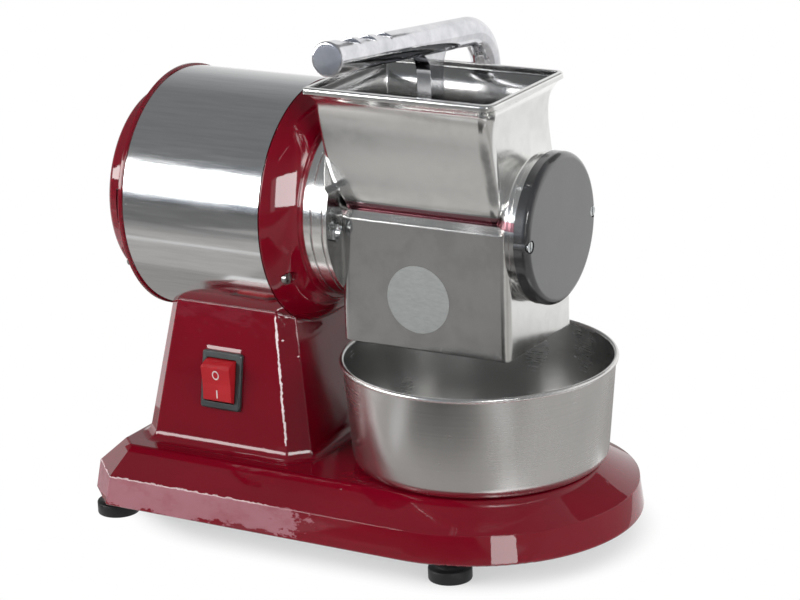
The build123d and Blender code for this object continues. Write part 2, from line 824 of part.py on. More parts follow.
def chamber_walls(height):
    """The chamber's outside from the chute up to the shoulder."""
    chute = box_section(head_x0, head_x1, chamber_half_width, chamber_corner, chamber_corner)
    top = box_section(
        head_x0 - chamber_top_step, head_x1, chamber_half_width, chamber_top_corner, chamber_corner
    )
    return loft([Pos(0, 0, chute_z) * chute, Pos(0, 0, chute_z + height) * top], ruled=True)


def lever_ears():
    """The two ears behind the hopper that carry the lever's pin."""
    wall_y = chamber_half_width - hopper_sections[3][3] - 1.2
    upper = (wall_y, pivot_z + ear_root_up)
    lower = (wall_y, pivot_z - ear_root_down)
    tip_up = tangent_point(upper, 1)
    tip_down = tangent_point(lower, -1)
    nose = ThreePointArc(tip_up, (pivot_y + pivot_boss_radius, pivot_z), tip_down)
    outline = make_face(Line(upper, tip_up) + nose + Polyline(tip_down, lower, upper))
    inner = pivot_boss_width / 2 + ear_gap
    ear = extrude(Plane.YZ * outline, ear_thickness)
    return Pos(lever_x + inner, 0, 0) * ear + Pos(lever_x - inner - ear_thickness, 0, 0) * ear


def tangent_point(start, side):
    """Where a line from a point touches the round end of a lever ear, above or below."""
    away_y = start[0] - pivot_y
    away_z = start[1] - pivot_z
    turn = math.atan2(away_z, away_y) - side * math.acos(pivot_boss_radius / math.hypot(away_y, away_z))
    return pivot_y + pivot_boss_radius * math.cos(turn), pivot_z + pivot_boss_radius * math.sin(turn)


def boss():
    """The boss on the cap side: a dome out of the hopper's wall, and the band under the cover."""
    band_x0 = band_x1 - band_width
    root_x = head_x1 - boss_root
    dome_x1 = head_x1 - 0.5
    dome_arc = ThreePointArc(
        (root_x, boss_root_radius),
        (root_x + boss_root * 0.44, boss_root_radius + 0.58 * (boss_radius - boss_root_radius)),
        (dome_x1, boss_radius),
    )
    dome = make_face(dome_arc + Polyline(dome_arc @ 1, (dome_x1, 0), (root_x, 0), dome_arc @ 0))
    dome = Pos(0, 0, axis_z) * revolve(Plane.XZ * dome, Axis.X)
    dome &= Pos(head_x1, 0, throat_z - shoulder_height + boss_radius) * Box(
        4 * boss_root, 2 * boss_radius + 2, 2 * boss_radius
    )
    return dome + rod_x(boss_radius, dome_x1, band_x0) + rod_x(band_radius, band_x0, band_x1)


def head_casting():
    """The polished head: round neck, drum chamber with its chute, boss and flared hopper in one casting."""
    neck = rod_x(neck_radius, ring_x1, head_x0) + rod_x(spigot_radius, ring_x1 - spigot_depth, ring_x1)
    for station in (ring_x1 + neck_plate, head_x0 - 2.6):
        near, far = station - groove_width / 2, station + groove_width / 2
        neck -= tube_x(neck_radius + 1, neck_radius - groove_depth, near, far)
    flank = [
        (ring_x1 + side + head_wall / 3, axis_z + rise)
        for rise, side, _, _ in hopper_sections if rise > neck_ledge
    ]
    ledge_z = axis_z + neck_ledge
    beyond = head_x0 + 1
    notch = Polyline((beyond, ledge_z), (head_x0, ledge_z), *flank, (beyond, flank[-1][1]), close=True)
    neck -= extrude(Plane.XZ * make_face(notch), neck_radius + 1, both=True)
    wall_height = throat_z - shoulder_height - chute_z
    last = len(hopper_sections) - 1
    rim = extrude(hopper_section(last, 0), rim_height)
    rim = fillet(rim.edges().group_by(Axis.Z)[-1], rim_rounding)
    head = neck + chamber_walls(wall_height) + shoulder_loft() + hopper_loft(0)
    head += rim + boss() + lever_ears()

    half = chamber_half_width - head_wall
    chamber = Pos(0, 0, chute_z) * extrude(
        box_section(head_x0 + head_wall, head_x1 - head_wall, half, chamber_corner, chamber_corner / 2),
        wall_height,
    )
    throat = extrude(hopper_section(0, head_wall - throat_relief), -shoulder_height)
    mouth = extrude(hopper_section(last, head_wall), rim_height + 1)
    head -= chamber + throat + hopper_loft(head_wall) + mouth
    head -= rod_x(drum_port_radius, drum_x1 - 20, band_x1 + 1)

    inner = head_x0 + head_wall
    head -= rod_x(seal_radius + fit_gap, inner - seal_length, inner + drum_end_gap)
    head -= rod_x(drum_shaft_radius + 3, ring_x1, inner)
    head -= rod_x(journal_radius + 9, ring_x1 - spigot_depth - 1, inner - seal_length - 3)
    for side in (-1, 1):
        y, z = stud_place(side)
        head -= rod_x(stud_radius + fit_gap, ring_x1 - spigot_depth - 1, head_x0 + 1, y, z)
        y, z = cover_screw_place(side)
        head -= rod_x(cover_screw_radius + fit_gap, band_x1 - cover_screw_reach, band_x1 + 1, y, z)
    reach = pivot_boss_width / 2 + ear_gap + ear_thickness + 1
    return head - rod_x(pivot_pin_radius + fit_gap, lever_x - reach, lever_x + reach, pivot_y, pivot_z)


def cover_screw_place(side):
    """The Y and Z of a bearing cover screw, on the horizontal diameter."""
    return side * cover_screw_circle, axis_z


def shaft_seal():
    """The rubber seal between the neck and the drum chamber."""
    inner = head_x0 + head_wall
    ring = tube_x(seal_radius, drum_shaft_radius + run_gap, inner - seal_length, inner)
    return ring - tube_x(seal_radius - 2, drum_shaft_radius + 1.6, inner - 1.2, inner + 1)


def bearing_cover():
    """The black cover that closes the drum port and holds the outboard bush."""
    x0, x1 = band_x1, cover_x1
    spigot = drum_port_radius - 0.2
    cover = rod_x(cover_radius, x0, x1)
    rim = [e for e in cover.edges().filter_by(GeomType.CIRCLE) if abs(e.center().X - x1) < 0.01]
    cover = fillet(rim, cover_rounding)
    cover += rod_x(spigot, x0 - cover_spigot, x0)
    cover -= tube_x(spigot - cover_wall, bush_radius + cover_wall, x0 - cover_spigot - 1, x1 - cover_wall)
    cover -= rod_x(bush_radius + fit_gap, x0 - cover_spigot - 1, x0 - cover_spigot + bush_length)
    for side in (-1, 1):
        y, z = cover_screw_place(side)
        cover += rod_x(cover_well_radius + cover_well_wall, x0, x1 - cover_rounding / 2, y, z)
        cover -= rod_x(cover_well_radius, cover_screw_seat(), x1 + 1, y, z)
        cover -= rod_x(cover_screw_radius + fit_gap, x0 - 1, x1, y, z)
    return cover


def cover_screw_seat():
    """The station of the floor of the cover's screw wells."""
    return cover_x1 - cover_well_depth


def cover_screws():
    """The two screws in the bearing cover's wells."""
    screws = []
    seat = cover_screw_seat()
    for side in (-1, 1):
        y, z = cover_screw_place(side)
        head = rod_x(cover_well_radius - 0.5, seat, seat + 1.8, y, z)
        slot = Pos(seat + 1.8, y, z) * Box(1.2, 0.8, 2 * cover_well_radius)
        screws.append(head - slot + rod_x(cover_screw_radius, band_x1 - cover_screw_reach + 0.5, seat, y, z))
    return screws


def outboard_bush():
    """The bronze bush at the shaft's outer end."""
    x0 = band_x1 - cover_spigot
    return tube_x(bush_radius, outboard_radius + run_gap, x0, x0 + bush_length)


def grating_drum():
    """The drum's sheet-steel tube with rows of raised teeth, staggered from row to row."""
    tube = tube_x(drum_radius, drum_radius - drum_wall, drum_x0, drum_x1)
    half = tooth_base / 2
    sink = 0.5
    outline = make_face(Polyline((-half, -sink), (half, -sink), (half * 0.8, tooth_height), close=True))
    tooth = Pos(-tooth_width / 2, 0, drum_radius) * extrude(Plane.YZ * outline, tooth_width)
    pitch = drum_length / tooth_rows
    teeth = []
    for row in range(tooth_rows):
        x = drum_x0 + pitch * (row + 0.5)
        for index in range(teeth_per_row):
            turn = 360 * (index + row % 2 / 2) / teeth_per_row
            teeth.append(Pos(x, 0, axis_z) * Rot(turn, 0, 0) * tooth)
    return tube + teeth


def drum_hub_disc(x0):
    """An end disc inside the drum's tube."""
    outer = drum_radius - drum_wall - fit_gap
    disc = tube_x(outer, drum_shaft_radius + fit_gap, x0, x0 + drum_hub)
    inner = drum_shaft_radius + drum_hub_boss
    return disc - tube_x(outer - drum_hub_rim, inner, x0 - 1, x0 + drum_hub_recess)


def drum_hub_inner():
    """The hub that the drive pin turns."""
    return drum_hub_disc(drum_x0) - drive_pin_rod(drive_pin_radius + fit_gap)


def drum_hub_outer():
    """The hub behind the drum's nut."""
    return drum_hub_disc(drum_x1 - drum_hub)


def drum_nut():
    """The nut that holds the drum on the shaft."""
    nut = Pos(drum_x1, 0, axis_z) * Rot(0, 90, 0) * extrude(
        RegularPolygon(drum_nut_flats / math.sqrt(3), 6), drum_nut_height
    )
    return nut - rod_x(outboard_radius + fit_gap, drum_x1 - 1, drum_x1 + drum_nut_height + 1)


def lever_points():
    """The lever's pivot, bend and grip end in its own plane, as Y and Z."""
    bend = (pivot_y, pivot_z + lever_bend_rise)
    grip = (pivot_y - lever_reach, pivot_z + lever_bend_rise + lever_slope_rise)
    return (pivot_y, pivot_z), bend, grip


def press_lever():
    """The cast lever: notched grip, round bar bent down to its pivot boss, and the stem to the presser."""
    pivot, bend, grip = lever_points()
    plane = Plane(origin=(lever_x, 0, 0), x_dir=(0, 1, 0), z_dir=(1, 0, 0))
    share = grip_length / lever_reach / 2
    bar_end = (grip[0] + share * (bend[0] - grip[0]), grip[1] + share * (bend[1] - grip[1]))
    path = plane * FilletPolyline(pivot, bend, bar_end, radius=lever_bend_radius)
    bar = sweep(Plane(origin=path @ 0, z_dir=path % 0) * Circle(lever_radius), path)

    slope = math.degrees(math.atan2(lever_slope_rise, lever_reach))
    grip_frame = Pos(lever_x, grip[0], grip[1]) * Rot(-slope, 0, 0)
    taper = Cone(grip_radius, lever_radius - 0.1, grip_length)
    handle = grip_frame * Pos(0, grip_length / 2, 0) * Rot(-90, 0, 0) * taper
    end_edge = handle.edges().filter_by(GeomType.CIRCLE).sort_by(Axis.Y)[0]
    handle = fillet(end_edge, 1.0)
    notch_corners = ((0, 0), (grip_notch_pitch, 0), (grip_notch_pitch, -grip_notch_depth))
    notch_outline = make_face(Polyline(*notch_corners, close=True))
    for index in range(grip_notches):
        start = 6.0 + grip_notch_pitch * index
        wedge = extrude(Plane.YZ * Pos(start, grip_radius + 0.2) * notch_outline, 2 * grip_radius, both=True)
        handle -= grip_frame * wedge
        bar -= grip_frame * wedge

    boss = rod_x(pivot_boss_radius, lever_x - pivot_boss_width / 2, lever_x + pivot_boss_width / 2, *pivot)
    foot_z = axis_z + presser_boss_rise
    bar_z = pivot_z + lever_bend_rise + lever_slope_rise * pivot_y / lever_reach
    under_bar = bar_z - lever_radius / 2
    half = stem_width / 2
    wide = half + stem_flare
    bow = stem_flare * (1 - math.sqrt(0.5))
    right = ThreePointArc((half, under_bar - stem_flare), (half + bow, under_bar - bow), (wide, under_bar))
    left = ThreePointArc((-wide, under_bar), (-half - bow, under_bar - bow), (-half, under_bar - stem_flare))
    outline = make_face(
        Line((-half, foot_z), (half, foot_z)) + Line((half, foot_z), right @ 0) + right
        + Line(right @ 1, left @ 0) + left + Line(left @ 1, (-half, foot_z))
    )
    stem = Pos(lever_x, 0, 0) * extrude(Plane.YZ * outline, stem_thickness / 2, both=True)
    lever = bar + handle + boss + stem
    reach = pivot_boss_width
    lever -= rod_x(pivot_pin_radius + run_gap, lever_x - reach, lever_x + reach, *pivot)
    for y in presser_screw_places():
        lever -= rod_z(1.9 + fit_gap, foot_z - 1, foot_z + 13, lever_x, y)
    return lever


def presser_screw_places():
    """The two screws that hold the presser, along Y."""
    return [-presser_screw_spacing / 2, presser_screw_spacing / 2]


def presser_arc(radius, y):
    """The height on a circle about the drum's axis."""
    return axis_z + math.sqrt(radius ** 2 - y ** 2)


def presser_plate():
    """The presser: a shell curved to the drum, with the boss that the stem stands on."""
    inner = drum_radius + tooth_height + presser_gap
    outer = inner + presser_wall
    front, back = -presser_front, presser_back
    under = ThreePointArc(
        (front, presser_arc(inner, front)), (0, axis_z + inner), (back, presser_arc(inner, back))
    )
    over = ThreePointArc(
        (back, presser_arc(outer, back)), (0, axis_z + outer), (front, presser_arc(outer, front))
    )
    outline = make_face(under + Line(under @ 1, over @ 0) + over + Line(over @ 1, under @ 0))
    x0 = ring_x1 + hopper_sections[2][1] + head_wall + presser_side_gap
    x1 = head_x1 - hopper_sections[4][2] - head_wall - presser_side_gap / 2
    plate = Pos(x0, 0, 0) * extrude(Plane.YZ * outline, x1 - x0)
    boss_z0 = axis_z + outer - 3
    boss_height = axis_z + presser_boss_rise - boss_z0
    boss_box = Box(presser_boss_width, stem_width + 4, boss_height)
    plate += Pos(lever_x, 0, boss_z0 + boss_height / 2) * boss_box
    for y in presser_screw_places():
        plate -= rod_z(1.9 + fit_gap, axis_z, axis_z + presser_boss_rise + 1, lever_x, y)
        plate -= rod_z(3.4, axis_z, axis_z + inner + 2.6, lever_x, y)
    return plate


def presser_screws():
    """The screws up through the presser into the stem."""
    seat = axis_z + drum_radius + tooth_height + presser_gap + 2.6
    return [
        rod_z(3.2, seat - 2.2, seat, lever_x, y) + rod_z(1.9, seat, seat + 20, lever_x, y)
        for y in presser_screw_places()
    ]


def pin_reach():
    """Half the pivot pin's length, past the ears and the clips."""
    return pivot_boss_width / 2 + ear_gap + ear_thickness + clip_thickness + 1.2


def pivot_pin():
    """The lever's pin, grooved at both ends for its clips."""
    reach = pin_reach()
    pin = rod_x(pivot_pin_radius, lever_x - reach, lever_x + reach, pivot_y, pivot_z)
    for side in (-1, 1):
        pin -= clip_ring(side, pivot_pin_radius + 1, pivot_pin_radius - 0.8)
    return pin


def clip_ring(side, outer, inner):
    """A flat ring on the pin, just outside an ear."""
    near = pivot_boss_width / 2 + ear_gap + ear_thickness
    x0 = lever_x + side * (near + clip_thickness / 2) - clip_thickness / 2
    ring = rod_x(outer, x0, x0 + clip_thickness, pivot_y, pivot_z)
    return ring - rod_x(inner, x0 - 1, x0 + clip_thickness + 1, pivot_y, pivot_z)


def pivot_clips():
    """The spring clips that keep the pin in its ears."""
    return [clip_ring(side, clip_radius, pivot_pin_radius - 0.8 + fit_gap) for side in (-1, 1)]


def bowl():
    """The pressed steel bowl with its beaded rim."""
    top = bowl_height - bowl_bead
    side_r = bowl_rim_radius - bowl_bead
    floor_r = bowl_base_radius - bowl_corner

    def wall_path(inset):
        """The wall's half outline from the middle of the floor to the rim, drawn in by an inset."""
        corner = bowl_corner - inset
        knee = corner / math.sqrt(2)
        floor = Line((0, inset), (floor_r, inset))
        bend = ThreePointArc(
            (floor_r, inset), (floor_r + knee, bowl_corner - knee), (floor_r + corner, bowl_corner)
        )
        side = Line((floor_r + corner, bowl_corner), (side_r - inset, top))
        return floor, bend, side

    outer, inner = wall_path(0), wall_path(bowl_wall)
    rim = Line(outer[2] @ 1, inner[2] @ 1)
    middle = Line(inner[0] @ 0, outer[0] @ 0)
    outline = make_face([*outer, rim, *inner, middle])
    shell = revolve(Plane.XZ * outline, Axis.Z)
    bead = Pos(0, 0, bowl_height - bowl_bead) * Torus(bowl_rim_radius - bowl_bead, bowl_bead)
    return Pos(bowl_x, 0, deck_z) * (shell + bead)


def build_nodes():
    """Every piece by name: a solid, or a list of like solids."""
    return {
        "base_casting": base_casting(),
        "bottom_cover": bottom_cover(),
        "rubber_feet": [rubber_foot(x, y) for x, y in foot_places()],
        "foot_screws": [foot_screw(x, y) for x, y in foot_places()],
        "cable_grommet": cable_grommet(),
        "switch_housing": switch_housing(),
        "switch_rocker": switch_rocker(),
        "switch_terminals": switch_terminals(),
        "run_capacitor": run_capacitor(),
        "terminal_block": terminal_block(),
        "saddle_bolts": saddle_bolts(),
        "motor_sleeve": motor_sleeve(),
        "motor_frame": motor_frame(),
        "stator_core": stator_core(),
        "stator_windings": stator_windings(),
        "rotor_core": rotor_core(),
        "motor_shaft": motor_shaft(),
        "rear_bearing": bearing(rear_bearing_x),
        "front_bearing": bearing(front_bearing_x),
        "rear_shield": rear_shield(),
        "front_ring": front_ring(),
        "ring_screws": ring_screws(),
        "rear_cap": rear_cap(),
        "rear_cap_screws": rear_cap_screws(),
        "cooling_fan": cooling_fan(),
        "head_casting": head_casting(),
        "head_studs": head_studs(),
        "head_nuts": head_nuts(),
        "shaft_seal": shaft_seal(),
        "bearing_cover": bearing_cover(),
        "cover_screws": cover_screws(),
        "outboard_bush": outboard_bush(),
        "grating_drum": grating_drum(),
        "drum_hub_inner": drum_hub_inner(),
        "drum_hub_outer": drum_hub_outer(),
        "drum_nut": drum_nut(),
        "drive_pin": drive_pin_rod(drive_pin_radius),
        "press_lever": press_lever(),
        "presser_plate": presser_plate(),
        "presser_screws": presser_screws(),
        "pivot_pin": pivot_pin(),
        "pivot_clips": pivot_clips(),
        "bowl": bowl(),
    }


os.makedirs("parts", exist_ok=True)
for name, piece in build_nodes().items():
    solids = piece if isinstance(piece, list) else [piece]
    export_step(Compound(children=solids) if len(solids) > 1 else solids[0], f"parts/{name}.step")
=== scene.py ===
"""Finishes, small pieces and studio for an electric cheese grater.

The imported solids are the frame. This script gives every node a procedural finish, adds the stepped
feet, the blank round sticker and the marks on the rocker, and sets up the floor, the light and the
camera. Lengths are metres. +X runs along the motor towards the bearing cover, +Y is the lever's
hinge side, and +Z is up.
"""

import json
import logging
import math
from dataclasses import dataclass
from enum import Enum
from typing import Any, ClassVar, Dict, List, Optional, Sequence, Tuple, Union

import bpy
import numpy as np
from mathutils import Matrix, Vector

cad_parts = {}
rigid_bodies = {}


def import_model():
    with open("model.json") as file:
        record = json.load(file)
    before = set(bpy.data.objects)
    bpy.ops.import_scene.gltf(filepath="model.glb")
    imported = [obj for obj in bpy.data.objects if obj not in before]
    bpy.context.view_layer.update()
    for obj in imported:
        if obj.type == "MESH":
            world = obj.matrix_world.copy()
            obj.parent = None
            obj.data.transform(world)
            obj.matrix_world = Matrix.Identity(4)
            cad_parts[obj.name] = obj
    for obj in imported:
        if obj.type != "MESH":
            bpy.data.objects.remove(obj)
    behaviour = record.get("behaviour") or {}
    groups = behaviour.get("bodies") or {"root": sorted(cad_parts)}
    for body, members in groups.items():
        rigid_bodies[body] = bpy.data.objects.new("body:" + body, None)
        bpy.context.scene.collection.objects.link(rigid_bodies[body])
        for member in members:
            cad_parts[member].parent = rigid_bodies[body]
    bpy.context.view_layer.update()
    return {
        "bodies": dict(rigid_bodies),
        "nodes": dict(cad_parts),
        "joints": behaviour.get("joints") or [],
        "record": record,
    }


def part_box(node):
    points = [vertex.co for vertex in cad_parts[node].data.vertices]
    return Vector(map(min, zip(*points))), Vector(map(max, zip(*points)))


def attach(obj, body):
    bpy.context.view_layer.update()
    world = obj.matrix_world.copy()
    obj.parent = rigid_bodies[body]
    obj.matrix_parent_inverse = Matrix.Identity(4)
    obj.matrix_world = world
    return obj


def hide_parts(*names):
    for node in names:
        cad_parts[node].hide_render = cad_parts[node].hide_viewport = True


Colour = Tuple[float, float, float]
Point = Tuple[float, float, float]
Pair = Tuple[float, float]
Corners = Tuple[Point, Point, Point, Point]
Stops = Sequence[Tuple[float, Colour]]
Surface = Tuple[np.ndarray, List[np.ndarray]]
Frame = Dict[str, Any]
Socket = bpy.types.NodeSocket
Value = Union[float, Sequence[float], Socket]
Inputs = Dict[Union[str, int], Value]

LOG = logging.getLogger("grater")
MM = 0.001
UP: Pair = (0.0, 1.0)
DOWN: Pair = (1.0, 0.0)
MIDDLE: Pair = (0.3, 0.7)  # Most of a noise's values lie here.
LINES: Pair = (0.32, 0.62)  # Most of a metal's line noise lies here.


class Body(Enum):
    """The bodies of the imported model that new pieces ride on."""

    MACHINE = "machine"
    ROCKER = "rocker"


class Grain(Enum):
    """How the marks of working lie on a metal surface, as a stretch along each axis."""

    ALONG_X = (4.0, 60.0, 60.0)
    ROUND_X = (90.0, 5.0, 5.0)
    EVEN = (24.0, 24.0, 24.0)


def around(middle: float, half: float) -> Pair:
    """The range that reaches as far to either side of a value."""
    return middle - half, middle + half


def grey(tone: float, warmth: float = 0.0) -> Colour:
    """A grey of a tone, its red raised and its blue lowered by a share."""
    return tone * (1.0 + warmth), tone, tone * (1.0 - warmth)


class NodeGraph:
    """A node tree, with short calls for the nodes that the finishes and the room use."""

    def __init__(self, tree: bpy.types.NodeTree) -> None:
        """Takes a tree and empties it."""
        self.tree = tree
        tree.nodes.clear()

    def put(self, target: Socket, value: Value) -> None:
        """Gives an input socket its value, or joins another node's output to it.

        Args:
            target: The input socket.
            value: A constant, or an output socket.
        """
        if isinstance(value, Socket):
            self.tree.links.new(value, target)
        else:
            target.default_value = value

    def add(
        self, kind: str, inputs: Optional[Inputs] = None, **options: Union[str, int]
    ) -> bpy.types.Node:
        """Adds a node.

        Args:
            kind: The node's type, without the word that all the types start with.
            inputs: What goes into its sockets, by their names or numbers.
            options: Its own options, such as a math node's operation.

        Returns:
            The node.
        """
        node = self.tree.nodes.new("ShaderNode" + kind)
        for option, choice in options.items():
            setattr(node, option, choice)
        for key, value in (inputs or {}).items():
            self.put(node.inputs[key], value)
        return node

    def vector(self, operation: str, *values: Value) -> bpy.types.NodeOutputs:
        """The outputs of a vector operation on one or two vectors."""
        return self.add("VectorMath", dict(enumerate(values)), operation=operation).outputs

    def combine(self, operation: str, values: Sequence[Socket]) -> Socket:
        """Takes values together two by two, from the first one on.

        Args:
            operation: The operation of Blender's Math node.
            values: The values, two or more.

        Returns:
            The result.
        """
        result = values[0]
        for value in values[1:]:
            node = self.add("Math", {0: result, 1: value}, operation=operation)
            result = node.outputs["Value"]
        return result

    def product(self, *values: Socket) -> Socket:
        """The product of values."""
        return self.combine("MULTIPLY", values)

    def total(self, *values: Socket) -> Socket:
        """The sum of values."""
        return self.combine("ADD", values)

    def most(self, *values: Socket) -> Socket:
        """The greatest of values."""
        return self.combine("MAXIMUM", values)

    def spread(self, value: Socket, read: Pair, give: Pair = UP) -> Socket:
        """Maps a range of values to another range, smoothly and clamped.

        Args:
            value: The value to map.
            read: The range read.
            give: What is given at its start and at its end.

        Returns:
            The mapped value.
        """
        node = self.add("MapRange", {
            "Value": value, "From Min": read[0], "From Max": read[1],
            "To Min": give[0], "To Max": give[1],
        }, interpolation_type="SMOOTHSTEP")
        return node.outputs["Result"]

    def band(self, value: Socket, start: Pair, end: Pair) -> Socket:
        """1 between two borders, over which it rises from 0 and falls to 0."""
        return self.product(self.spread(value, start), self.spread(value, end, DOWN))

    def ramp(self, value: Socket, stops: Stops) -> Socket:
        """Colours along a value.

        Args:
            value: The value that picks the colour.
            stops: Places from 0 to 1 with their colours, at least two.

        Returns:
            The colour.
        """
        node = self.add("ValToRGB", {"Fac": value})
        elements = node.color_ramp.elements
        while len(elements) < len(stops):
            elements.new(0.5)
        for element, (place, colour) in zip(elements, stops):
            element.position = place
            element.color = (*colour, 1.0)
        return node.outputs["Color"]


class Paint(NodeGraph):
    """A new material's node tree: its shader, and patterns on the object's own coordinates."""

    def __init__(self, name: str) -> None:
        """Makes the material by its name, with a surface shader.

        Args:
            name: The material's name.
        """
        self.material = bpy.data.materials.new(name)
        self.material.use_nodes = True
        super().__init__(self.material.node_tree)
        self.shader = self.add("BsdfPrincipled")
        self.output = self.add("OutputMaterial", {"Surface": self.shader.outputs["BSDF"]})
        self.coordinates = self.add("TexCoord").outputs["Object"]

    def give(self, inputs: Inputs) -> bpy.types.Material:
        """Sets the shader's sockets.

        Args:
            inputs: Constants or output sockets, by the sockets' names.

        Returns:
            The material.
        """
        for name, value in inputs.items():
            self.put(self.shader.inputs[name], value)
        return self.material

    def blend(self, share: Socket, first: Socket, second: Socket) -> None:
        """Shows a share of a second shader in place of the first."""
        mix = self.add("MixShader", {"Fac": share, 1: first, 2: second})
        self.put(self.output.inputs["Surface"], mix.outputs["Shader"])

    def mapped(self, scale: Point, centre: Point = (0.0, 0.0, 0.0)) -> Socket:
        """Object coordinates from a centre, stretched.

        Args:
            scale: The factor along each axis.
            centre: The point that the pattern is centred on.

        Returns:
            The stretched vector.
        """
        back = tuple(-value for value in centre)
        moved = self.add("Mapping", {"Vector": self.coordinates, "Location": back})
        stretched = self.add("Mapping", {"Vector": moved.outputs["Vector"], "Scale": scale})
        return stretched.outputs["Vector"]

    def noise(
        self, scale: float, detail: float = 3.0, roughness: float = 0.55,
        where: Optional[Socket] = None,
    ) -> Socket:
        """Fractal noise.

        Args:
            scale: Cycles for each unit of the vector.
            detail: Octaves.
            roughness: The share of each finer octave.
            where: The vector that the noise is read at, or else the object coordinates.

        Returns:
            The noise's value.
        """
        node = self.add("TexNoise", {
            "Vector": self.coordinates if where is None else where,
            "Scale": scale, "Detail": detail, "Roughness": roughness,
        })
        return node.outputs["Fac"]

    def specks(self, scale: float, size: float) -> Socket:
        """Small round dots, one in each cell, that fall from 1 to 0 over their radius.

        Args:
            scale: Cells for each metre.
            size: The dots' radius as a share of a cell.

        Returns:
            The dots' value.
        """
        node = self.add("TexVoronoi", {"Vector": self.coordinates, "Scale": scale})
        return self.spread(node.outputs["Distance"], (0.0, size), DOWN)

    def bump(
        self, height: Socket, depth: float, strength: float = 1.0, normal: Optional[Socket] = None
    ) -> Socket:
        """Tilts the surface's normal by a height.

        Args:
            height: The height, about 0 to 1.
            depth: What a height of 1 stands for, in metres.
            strength: How much of the tilt is used.
            normal: A normal that is already tilted.

        Returns:
            The tilted normal.
        """
        inputs = {"Height": height, "Distance": depth, "Strength": strength}
        if normal is not None:
            inputs["Normal"] = normal
        return self.add("Bump", inputs).outputs["Normal"]

    def axis(self, name: str) -> Socket:
        """The object coordinate along one axis, X, Y or Z, in metres."""
        return self.add("SeparateXYZ", {"Vector": self.coordinates}).outputs[name]

    def along(self, way: Point) -> Socket:
        """The object coordinates' dot product with a direction."""
        return self.vector("DOT_PRODUCT", self.coordinates, way)["Value"]

    def normal(self) -> Socket:
        """The surface's own direction."""
        return self.add("NewGeometry").outputs["Normal"]

    def facing(self, name: str) -> Socket:
        """How far the surface faces along one axis, X, Y or Z, from -1 to 1."""
        return self.add("SeparateXYZ", {"Vector": self.normal()}).outputs[name]

    def soft_edges(self, radius: float, samples: int = 6) -> Socket:
        """A normal that rounds every edge by a radius, in metres."""
        return self.add("Bevel", {"Radius": radius}, samples=samples).outputs["Normal"]


@dataclass(frozen=True)
class PaintedReflection:
    """A ragged pale patch of painted reflection low on upright faces, where the clear coat is also
    duller.
    """

    colour: Colour = (0.36, 0.140, 0.170)
    end_x: float = -4.0 * MM
    foot_z: float = 12.4 * MM
    top_z: float = 33.0 * MM
    end_border: float = 8.0 * MM
    foot_border: float = 1.0 * MM
    top_border: float = 2.0 * MM
    torn_end: float = 22.0 * MM
    torn_lip: float = 3.0 * MM
    torn_shares: Pair = (0.30, 0.60)
    leaning: Pair = (0.22, 0.34)
    thinnest: float = 0.72
    coat_roughness: float = 0.24

    def mask(self, paint: Paint) -> Socket:
        """Where the painted reflection lies: low on upright faces, up to a torn end, uneven by
        noise.

        Args:
            paint: The lacquer's node tree.

        Returns:
            The painted reflection's strength, 0 to 1.
        """
        flattened = paint.mapped((1.0, 1.0, 1.8))
        torn = paint.noise(scale=46.0, detail=6.0, roughness=0.66, where=flattened)
        end = paint.spread(torn, MIDDLE, around(0.0, self.torn_end))
        reach = paint.total(paint.axis("X"), end)
        across = paint.spread(reach, around(self.end_x, self.end_border), DOWN)
        lip = paint.spread(torn, MIDDLE, around(0.0, self.torn_lip))
        height = paint.total(paint.axis("Z"), lip)
        below = paint.spread(height, around(self.top_z, self.top_border), DOWN)
        above = paint.spread(height, around(self.foot_z, self.foot_border))
        upright = paint.spread(paint.facing("Z"), self.leaning, DOWN)
        body = paint.spread(torn, self.torn_shares, (self.thinnest, 1.0))
        return paint.product(across, below, above, paint.product(upright, body))


@dataclass(frozen=True)
class Rubbed:
    """A level band in front of an upright plane where the gloss is rubbed off the lacquer."""

    foot_z: float
    top_z: float
    plane_y: float
    gloss: float = 0.12
    border: float = 0.6 * MM
    plane_border: float = 1.0 * MM

    def coat(self, paint: Paint) -> Socket:
        """How much of the clear coat is left.

        Args:
            paint: The lacquer's node tree.

        Returns:
            The coat's weight: 1 outside the band, the band's gloss inside it.
        """
        start = (self.foot_z, self.foot_z + self.border)
        end = (self.top_z - self.border, self.top_z)
        plane = (self.plane_y - self.plane_border, self.plane_y)
        before = paint.spread(paint.axis("Y"), plane, DOWN)
        rubbed = paint.product(paint.band(paint.axis("Z"), start, end), before)
        return paint.spread(rubbed, UP, (1.0, self.gloss))


@dataclass(frozen=True)
class Swelling:
    """A low swelling of the lacquer along the switch's upper edge, that falls away upwards."""

    centre_x: float = -70.9 * MM
    half_width: float = 10.6 * MM
    border: float = 0.6 * MM
    hidden_z: float = 82.0 * MM
    hidden_rise: float = 3.0 * MM
    foot_z: float = 89.0 * MM
    top_z: float = 91.2 * MM
    height: float = 0.40 * MM
    front: Pair = (-0.9, -0.7)

    def tilt(self, paint: Paint, normal: Socket) -> Socket:
        """Tilts the normal on the swelling's upper slope.

        Args:
            paint: The lacquer's node tree.
            normal: The normal so far.

        Returns:
            The tilted normal.
        """
        rise = (self.hidden_z, self.hidden_z + self.hidden_rise)
        slope = paint.band(paint.axis("Z"), rise, (self.foot_z, self.top_z))
        start, end = around(self.centre_x, self.half_width)
        wide = paint.band(paint.axis("X"), around(start, self.border), around(end, self.border))
        front = paint.spread(paint.facing("Y"), self.front, DOWN)
        mask = paint.product(wide, front)
        return paint.bump(paint.product(slope, mask), self.height, normal=normal)


